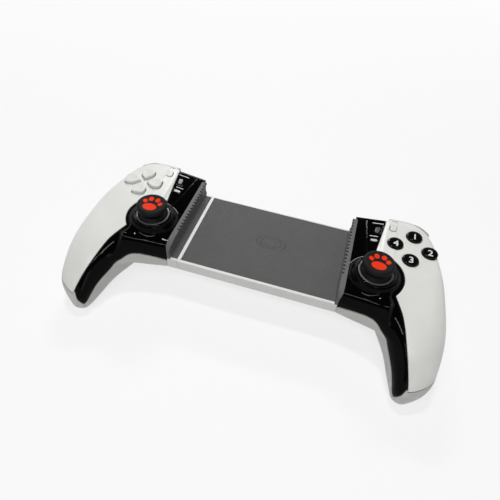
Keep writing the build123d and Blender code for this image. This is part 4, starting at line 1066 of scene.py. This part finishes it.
# Studio
# A pale floor that curves up into a low round backdrop, a small soft box above, a long one behind, and a
# long strip light and a weak fill in front. The camera stands where the photograph was taken from.
scene = bpy.context.scene
scene.view_settings.view_transform = "Standard"
camera_data = bpy.data.cameras.new("camera")
camera_data.lens = 31.92
camera = place_object("camera", camera_data)
camera.location = (0.03825, -0.21614, 0.23012)
camera.rotation_euler = [radians(angle) for angle in (42.559, -3.714, 16.546)]
scene.camera = camera

floor_finish = bpy.data.materials.new("pale floor")
floor_finish.use_nodes = True
tree = floor_finish.node_tree
principled = tree.nodes["Principled BSDF"]
feed(tree, principled, {"Base Color": (0.9, 0.9, 0.9, 1), "Roughness": 0.9, "Specular IOR Level": 0.0})
glow = add_node(tree, "Emission", {})
path = add_node(tree, "LightPath", {})
glossy_too = calculated(tree, "MAXIMUM", (path, "Is Camera Ray"), (path, "Is Glossy Ray"))
seen = calculated(tree, "MAXIMUM", glossy_too, (path, "Is Transmission Ray"))
distance = add_node(tree, "VectorMath", {0: on_object(tree)}, operation="LENGTH")
share = calculated(tree, "MULTIPLY", seen, ramp(tree, (distance, "Value"), 0.25, 0.9, 0.75, 1.0))
both = add_node(tree, "MixShader", {"Fac": share, 1: (principled, "BSDF"), 2: (glow, "Emission")})
feed(tree, tree.nodes["Material Output"], {"Surface": (both, "Shader")})
lowest = min(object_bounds()[0][2], cad_box[0][2]) / MM
FLAT_RADIUS, COVE_RADIUS, WALL_TOP = 1600.0, 900.0, 1500.0
cove = [(0.0, lowest), (400.0, lowest), (FLAT_RADIUS, lowest)]
cove += quarter(FLAT_RADIUS, lowest + COVE_RADIUS, COVE_RADIUS, COVE_RADIUS, -80, 0, 9)
cove.append((FLAT_RADIUS + COVE_RADIUS, lowest + WALL_TOP))
floor = new_piece("pale_floor", *turned(cove, (-JAW, 0.0, 0.0), 72))
floor.data.materials.append(floor_finish)

world = bpy.data.worlds.new("studio")
scene.world = world
world.use_nodes = True
world.node_tree.nodes["Background"].inputs["Color"].default_value = (0.08, 0.08, 0.08, 1)
for name, place, size, watts in (
    ("key soft box", (-0.08, 0.14, 0.95), (0.1, 0.08), 3.5),
    ("back soft box", (-0.25, 0.95, 0.75), (0.35, 0.08), 4.5),
    ("front strip light", (-0.05, -0.52, 0.8), (0.7, 0.05), 2.9),
    ("front fill", (0.4, -0.85, 0.45), (0.3, 0.3), 0.5),
):
    lamp_data = bpy.data.lights.new(name, "AREA")
    lamp_data.shape = "RECTANGLE"
    lamp_data.size, lamp_data.size_y = size
    lamp_data.energy = watts
    lamp = place_object(name, lamp_data)
    lamp.location = place
    lamp.rotation_euler = (-Vector(place)).to_track_quat("-Z", "Y").to_euler()
